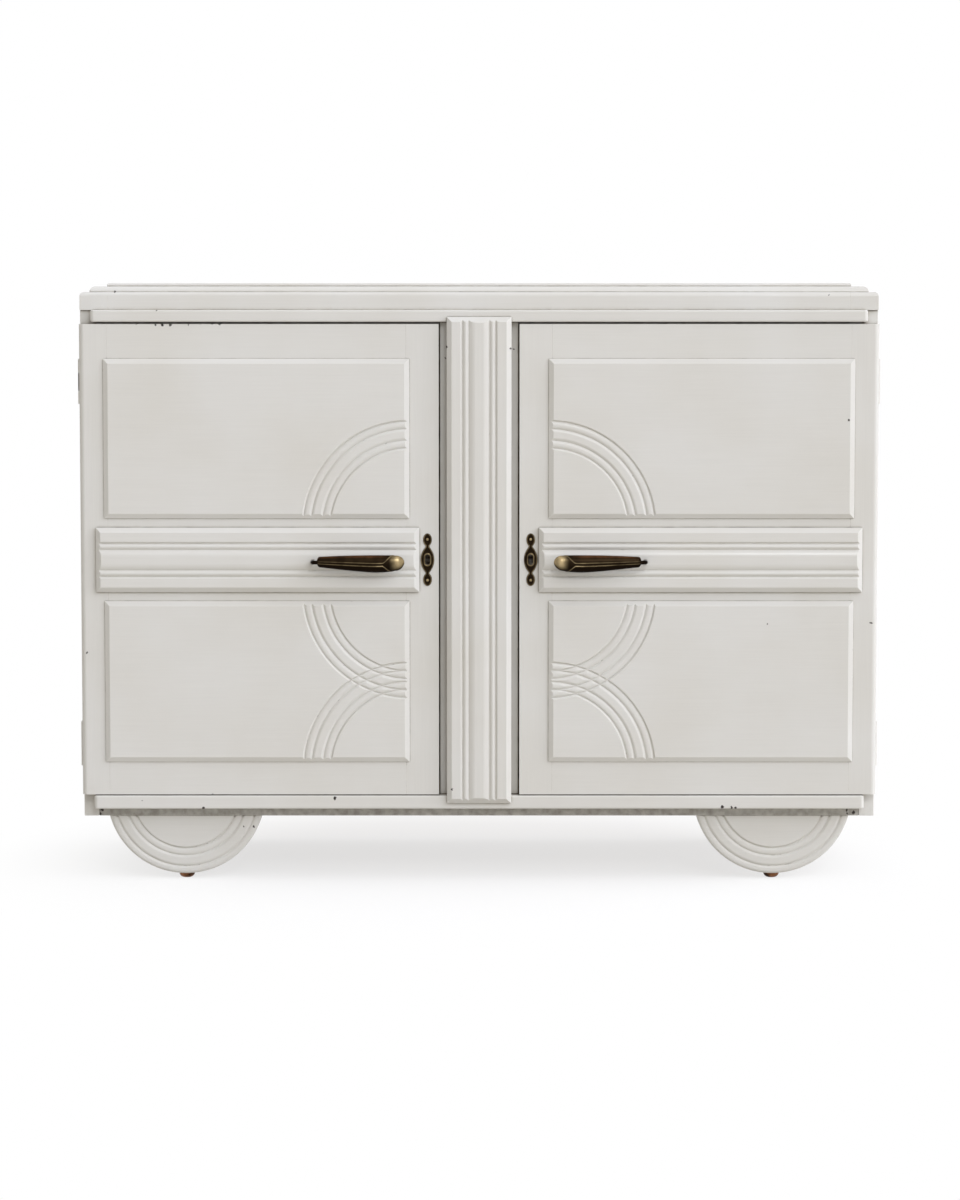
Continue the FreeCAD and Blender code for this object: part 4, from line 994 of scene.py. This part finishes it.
def plate_casting(brass):
    """Keyhole plate of the right-hand door: a quarter fitted to the outline, mirrored twice and raised."""
    low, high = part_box("right_escutcheon")
    middle = Vector(((low.x + high.x) / 2, high.y, (low.z + high.z) / 2))
    spans = len(PLATE_HEIGHTS) - 1
    mesh = bmesh.new()
    handled_and_shade, _, rubbed_and_highlight = wear_layers(mesh)
    bmesh.ops.create_grid(mesh, x_segments=PLATE_COLUMNS, y_segments=spans * PLATE_ROWS, size=0.5)
    for vert in mesh.verts:
        row = (vert.co.y + 0.5) * spans
        span = min(int(row + ROW_SLACK), spans - 1)
        eased = (1 - math.cos(math.pi * (row - span))) / 2
        height = PLATE_HEIGHTS[span] + eased * (PLATE_HEIGHTS[span + 1] - PLATE_HEIGHTS[span])
        inner = keyhole_half_width(height)
        x = inner + (vert.co.x + 0.5) * (plate_half_width(height) - inner)
        vert.co = Vector((x, 0, height)) * MM
    for axis in ("X", "Z"):
        whole = mesh.verts[:] + mesh.edges[:] + mesh.faces[:]
        bmesh.ops.mirror(mesh, geom=whole, axis=axis, merge_dist=CAST_MERGE)
    bmesh.ops.remove_doubles(mesh, verts=mesh.verts, dist=CAST_MERGE)
    raised = bmesh.ops.extrude_face_region(mesh, geom=mesh.faces[:], use_keep_orig=True)["geom"]
    for vert in only(bmesh.types.BMVert, raised):
        thickness, rim = plate_relief(abs(vert.co.x) / MM, abs(vert.co.z) / MM)
        vert.co.y -= thickness * brass.plate + rim * brass.rim
        vert[handled_and_shade] = PLATE_HANDLED + RIM_HANDLED * rim
        vert[rubbed_and_highlight] = RIM_SHINE * rim
    bmesh.ops.translate(mesh, verts=mesh.verts, vec=middle)
    bmesh.ops.recalc_face_normals(mesh, faces=mesh.faces)
    return mesh


def domed_pins():
    """Two round-headed pins of the right-hand keyhole plate."""
    low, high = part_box("right_escutcheon_pins")
    middle_x = (low.x + high.x) / 2
    radius = (high.x - low.x) / 2
    seat_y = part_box("right_escutcheon")[0].y
    flattened = Matrix.Diagonal((1, DOME_FLATNESS, 1, 1))
    inwards = Matrix.Rotation(QUARTER_TURN, 4, "X")
    mesh = bmesh.new()
    _, _, rubbed_and_highlight = wear_layers(mesh)
    for height in (low.z + radius, high.z - radius):
        dome = Matrix.Translation((middle_x, seat_y + DOME_SEAT, height)) @ flattened
        bmesh.ops.create_uvsphere(mesh, u_segments=DOME_SIDES, v_segments=DOME_RINGS, radius=radius,
                                  matrix=dome)
        shank = Matrix.Translation((middle_x, (seat_y + high.y) / 2, height)) @ inwards
        bmesh.ops.create_cone(mesh, cap_ends=True, segments=SHANK_SIDES, radius1=SHANK_RADIUS,
                              radius2=SHANK_POINT, depth=high.y - seat_y, matrix=shank)
    for vert in mesh.verts:
        vert[rubbed_and_highlight] = PIN_SHINE
    bmesh.ops.recalc_face_normals(mesh, faces=mesh.faces)
    return mesh


class SIDEBOARD_OT_keyhole_plates(Operator):
    """Cast the two keyhole plates with their rims, and set their domed pins"""
    bl_idname = "sideboard.keyhole_plates"
    bl_label = "Keyhole plates"

    def execute(self, context):
        brass = context.scene.sideboard_brass
        for side, sign in SIDES.items():
            plate = plate_casting(brass)
            place_on_side(plate, sign)
            keep(plate, f"{side}_keyhole_plate", "patinated_cast_brass", f"{side}_escutcheon")
            pins = domed_pins()
            place_on_side(pins, sign)
            keep(pins, f"{side}_plate_pins", "patinated_cast_brass", f"{side}_escutcheon_pins")
        return {"FINISHED"}


class SIDEBOARD_OT_metalwork(Operator):
    """Finish the hinges, locks, strike plates and screws"""
    bl_idname = "sideboard.metalwork"
    bl_label = "Hinges and locks"

    def execute(self, context):
        fittings = ["strike_plates", "carcass_screws"]
        hinges = ["carcass_hinge_leaves", "hinge_pins"]
        for side in SIDES:
            fittings += [f"{side}_{part}" for part in ("door_screws", "lock_case", "lock_bolt")]
            hinges.append(f"{side}_door_hinge_leaves")
        for node in fittings:
            refinish(node, "dull_steel")
        for node in hinges:
            refinish(node, "painted_over_steel")
        return {"FINISHED"}


# Studio

WHITE = (1, 1, 1)
# Window light: where its middle lies seen from the sideboard, and how strongly it narrows towards there
WINDOW_DIRECTION = (0.83, -0.302, 0.469)
WINDOW_FOCUS = 4.0
# Soft front lamp: where it stands seen from the door fronts, how far off and how wide, in metres
FRONT_DIRECTION = (0.16, -0.87, 0.46)
FRONT_DISTANCE = 9.0
FRONT_SIZE = 1.5
# Floor in metres: how far it reaches, and between which distances from the middle it is lifted to white
FLOOR_REACH = 40
LIFT_START = 0.35
LIFT_END = 0.8
MIDDLE_LIFT = 0.7
FLOOR_ROUGHNESS = 0.9
# Height of the camera's picture, in millimetres
SENSOR_HEIGHT = 36


def white_surround(studio):
    """Light from all round with a broad window on one side, plain white to the camera and in reflections."""
    world = bpy.data.worlds.new("white_surround")
    world.use_nodes = True
    tree = world.node_tree
    tree.nodes.clear()
    path = add(tree, "LightPath")
    seen = path.outputs["Is Camera Ray"]
    for ray in ("Is Glossy Ray", "Is Transmission Ray"):
        seen = add(tree, "Math", {0: seen, 1: path.outputs[ray]}, operation="MAXIMUM")
    room = add(tree, "Background", {"Color": studio.room_colour, "Strength": studio.room})
    way = add(tree, "TexCoord").outputs["Generated"]
    middle = Vector(WINDOW_DIRECTION).normalized()
    facing = add(tree, "VectorMath", {0: way, 1: middle}, operation="DOT_PRODUCT")
    ahead = add(tree, "Math", {0: facing, 1: 0.0}, operation="MAXIMUM")
    spread = add(tree, "Math", {0: ahead, 1: WINDOW_FOCUS}, operation="POWER")
    strength = add(tree, "Math", {0: spread, 1: studio.window}, operation="MULTIPLY")
    window = add(tree, "Background", {"Color": studio.window_colour, "Strength": strength})
    both = add(tree, "AddShader", {0: room, 1: window})
    white = add(tree, "Background", {"Color": WHITE, "Strength": 1.0})
    either = add(tree, "MixShader", {0: seen, 1: both, 2: white})
    add(tree, "OutputWorld", {"Surface": either})
    bpy.context.scene.world = world


def studio_floor(studio):
    """Pale floor that runs to the horizon, lifted to white for the camera away from the sideboard."""
    mesh = bmesh.new()
    bmesh.ops.create_grid(mesh, x_segments=1, y_segments=1, size=FLOOR_REACH)
    data = bpy.data.meshes.new("studio_floor")
    mesh.to_mesh(data)
    mesh.free()
    material, tree, shader, position = started("matt_white_floor")
    path = add(tree, "LightPath")
    seen = add(tree, "Math", {0: path.outputs["Is Camera Ray"], 1: path.outputs["Is Glossy Ray"]},
               operation="MAXIMUM")
    tone = add(tree, "Mix", {0: seen, MIX_A: studio.floor_bounce, MIX_B: studio.floor}, data_type="RGBA")
    fill(tree, shader, {"Base Color": tone, "Roughness": FLOOR_ROUGHNESS, "Specular IOR Level": 0.0})
    away = add(tree, "VectorMath", {0: position}, operation="LENGTH")
    fade = add(tree, "MapRange", {"Value": away, "From Min": LIFT_START, "From Max": LIFT_END,
                                  "To Min": MIDDLE_LIFT, "To Max": 1.0}, interpolation_type="SMOOTHSTEP")
    lift = add(tree, "Math", {0: seen, 1: fade}, operation="MULTIPLY")
    glow = add(tree, "Emission", {"Color": WHITE, "Strength": 1.0})
    lifted = add(tree, "MixShader", {0: lift, 1: shader, 2: glow})
    fill(tree, tree.nodes["Material Output"], {"Surface": lifted})
    data.materials.append(material)
    placed("studio_floor", data)


def soft_lamp(name, power, colour, place, target, size):
    """Square soft lamp at a place, turned to a target."""
    light = bpy.data.lights.new(name, "AREA")
    light.energy = power
    light.color = colour
    light.size = size
    lamp = placed(name, light)
    lamp.location = place
    lamp.rotation_euler = (target - place).to_track_quat("-Z", "Y").to_euler()


def photo_camera(studio):
    """Camera square to the doors, a little below their upper edge and tilted slightly down."""
    lens = bpy.data.cameras.new("photo_camera")
    lens.sensor_fit = "VERTICAL"
    lens.sensor_height = SENSOR_HEIGHT
    lens.lens = studio.lens
    camera = placed("photo_camera", lens)
    camera.location = (studio.offset, DOOR_FRONT - studio.distance, studio.height)
    camera.rotation_euler = Euler((QUARTER_TURN - studio.pitch, 0, 0))
    bpy.context.scene.camera = camera


class SIDEBOARD_OT_stage(Operator):
    """Set up the floor, the white surround, the soft lamp and the camera"""
    bl_idname = "sideboard.stage"
    bl_label = "Studio"

    def execute(self, context):
        studio = context.scene.sideboard_studio
        context.scene.view_settings.view_transform = "Standard"
        white_surround(studio)
        studio_floor(studio)
        middle = Vector((0, DOOR_FRONT, CAD_BOX[1].z / 2))
        front_place = middle + FRONT_DISTANCE * Vector(FRONT_DIRECTION).normalized()
        soft_lamp("front_lamp", studio.front, studio.front_colour, front_place, middle, FRONT_SIZE)
        photo_camera(studio)
        return {"FINISHED"}


class SIDEBOARD_PT_panel(Panel):
    """Buttons that dress the sideboard piece by piece"""
    bl_idname = "SIDEBOARD_PT_panel"
    bl_label = "Painted sideboard"
    bl_space_type = "VIEW_3D"
    bl_region_type = "UI"
    bl_category = "Sideboard"

    def draw(self, context):
        for operator in OPERATORS:
            self.layout.operator(operator.bl_idname)
        for group in GROUPS:
            settings = getattr(context.scene, group)
            box = self.layout.box()
            for name in settings.bl_rna.properties.keys():
                if name not in ("rna_type", "name"):
                    box.prop(settings, name)


GROUPS = {
    "sideboard_paint": PaintFinish,
    "sideboard_wood": WoodFinish,
    "sideboard_metal": MetalFinish,
    "sideboard_brass": BrassShape,
    "sideboard_studio": StudioSetup,
}
OPERATORS = (
    SIDEBOARD_OT_carcass, SIDEBOARD_OT_top, SIDEBOARD_OT_feet, SIDEBOARD_OT_inside, SIDEBOARD_OT_door_frames,
    SIDEBOARD_OT_panels, SIDEBOARD_OT_mouldings, SIDEBOARD_OT_pulls, SIDEBOARD_OT_keyhole_plates,
    SIDEBOARD_OT_metalwork, SIDEBOARD_OT_stage,
)


def register():
    for group, kind in GROUPS.items():
        bpy.utils.register_class(kind)
        setattr(bpy.types.Scene, group, PointerProperty(type=kind))
    for kind in (*OPERATORS, SIDEBOARD_PT_panel):
        bpy.utils.register_class(kind)


def unregister():
    for kind in (SIDEBOARD_PT_panel, *reversed(OPERATORS)):
        bpy.utils.unregister_class(kind)
    for group, kind in GROUPS.items():
        delattr(bpy.types.Scene, group)
        bpy.utils.unregister_class(kind)


def main():
    register()
    for operator in OPERATORS:
        module, name = operator.bl_idname.split(".")
        getattr(getattr(bpy.ops, module), name)()


if __name__ == "__main__":
    main()
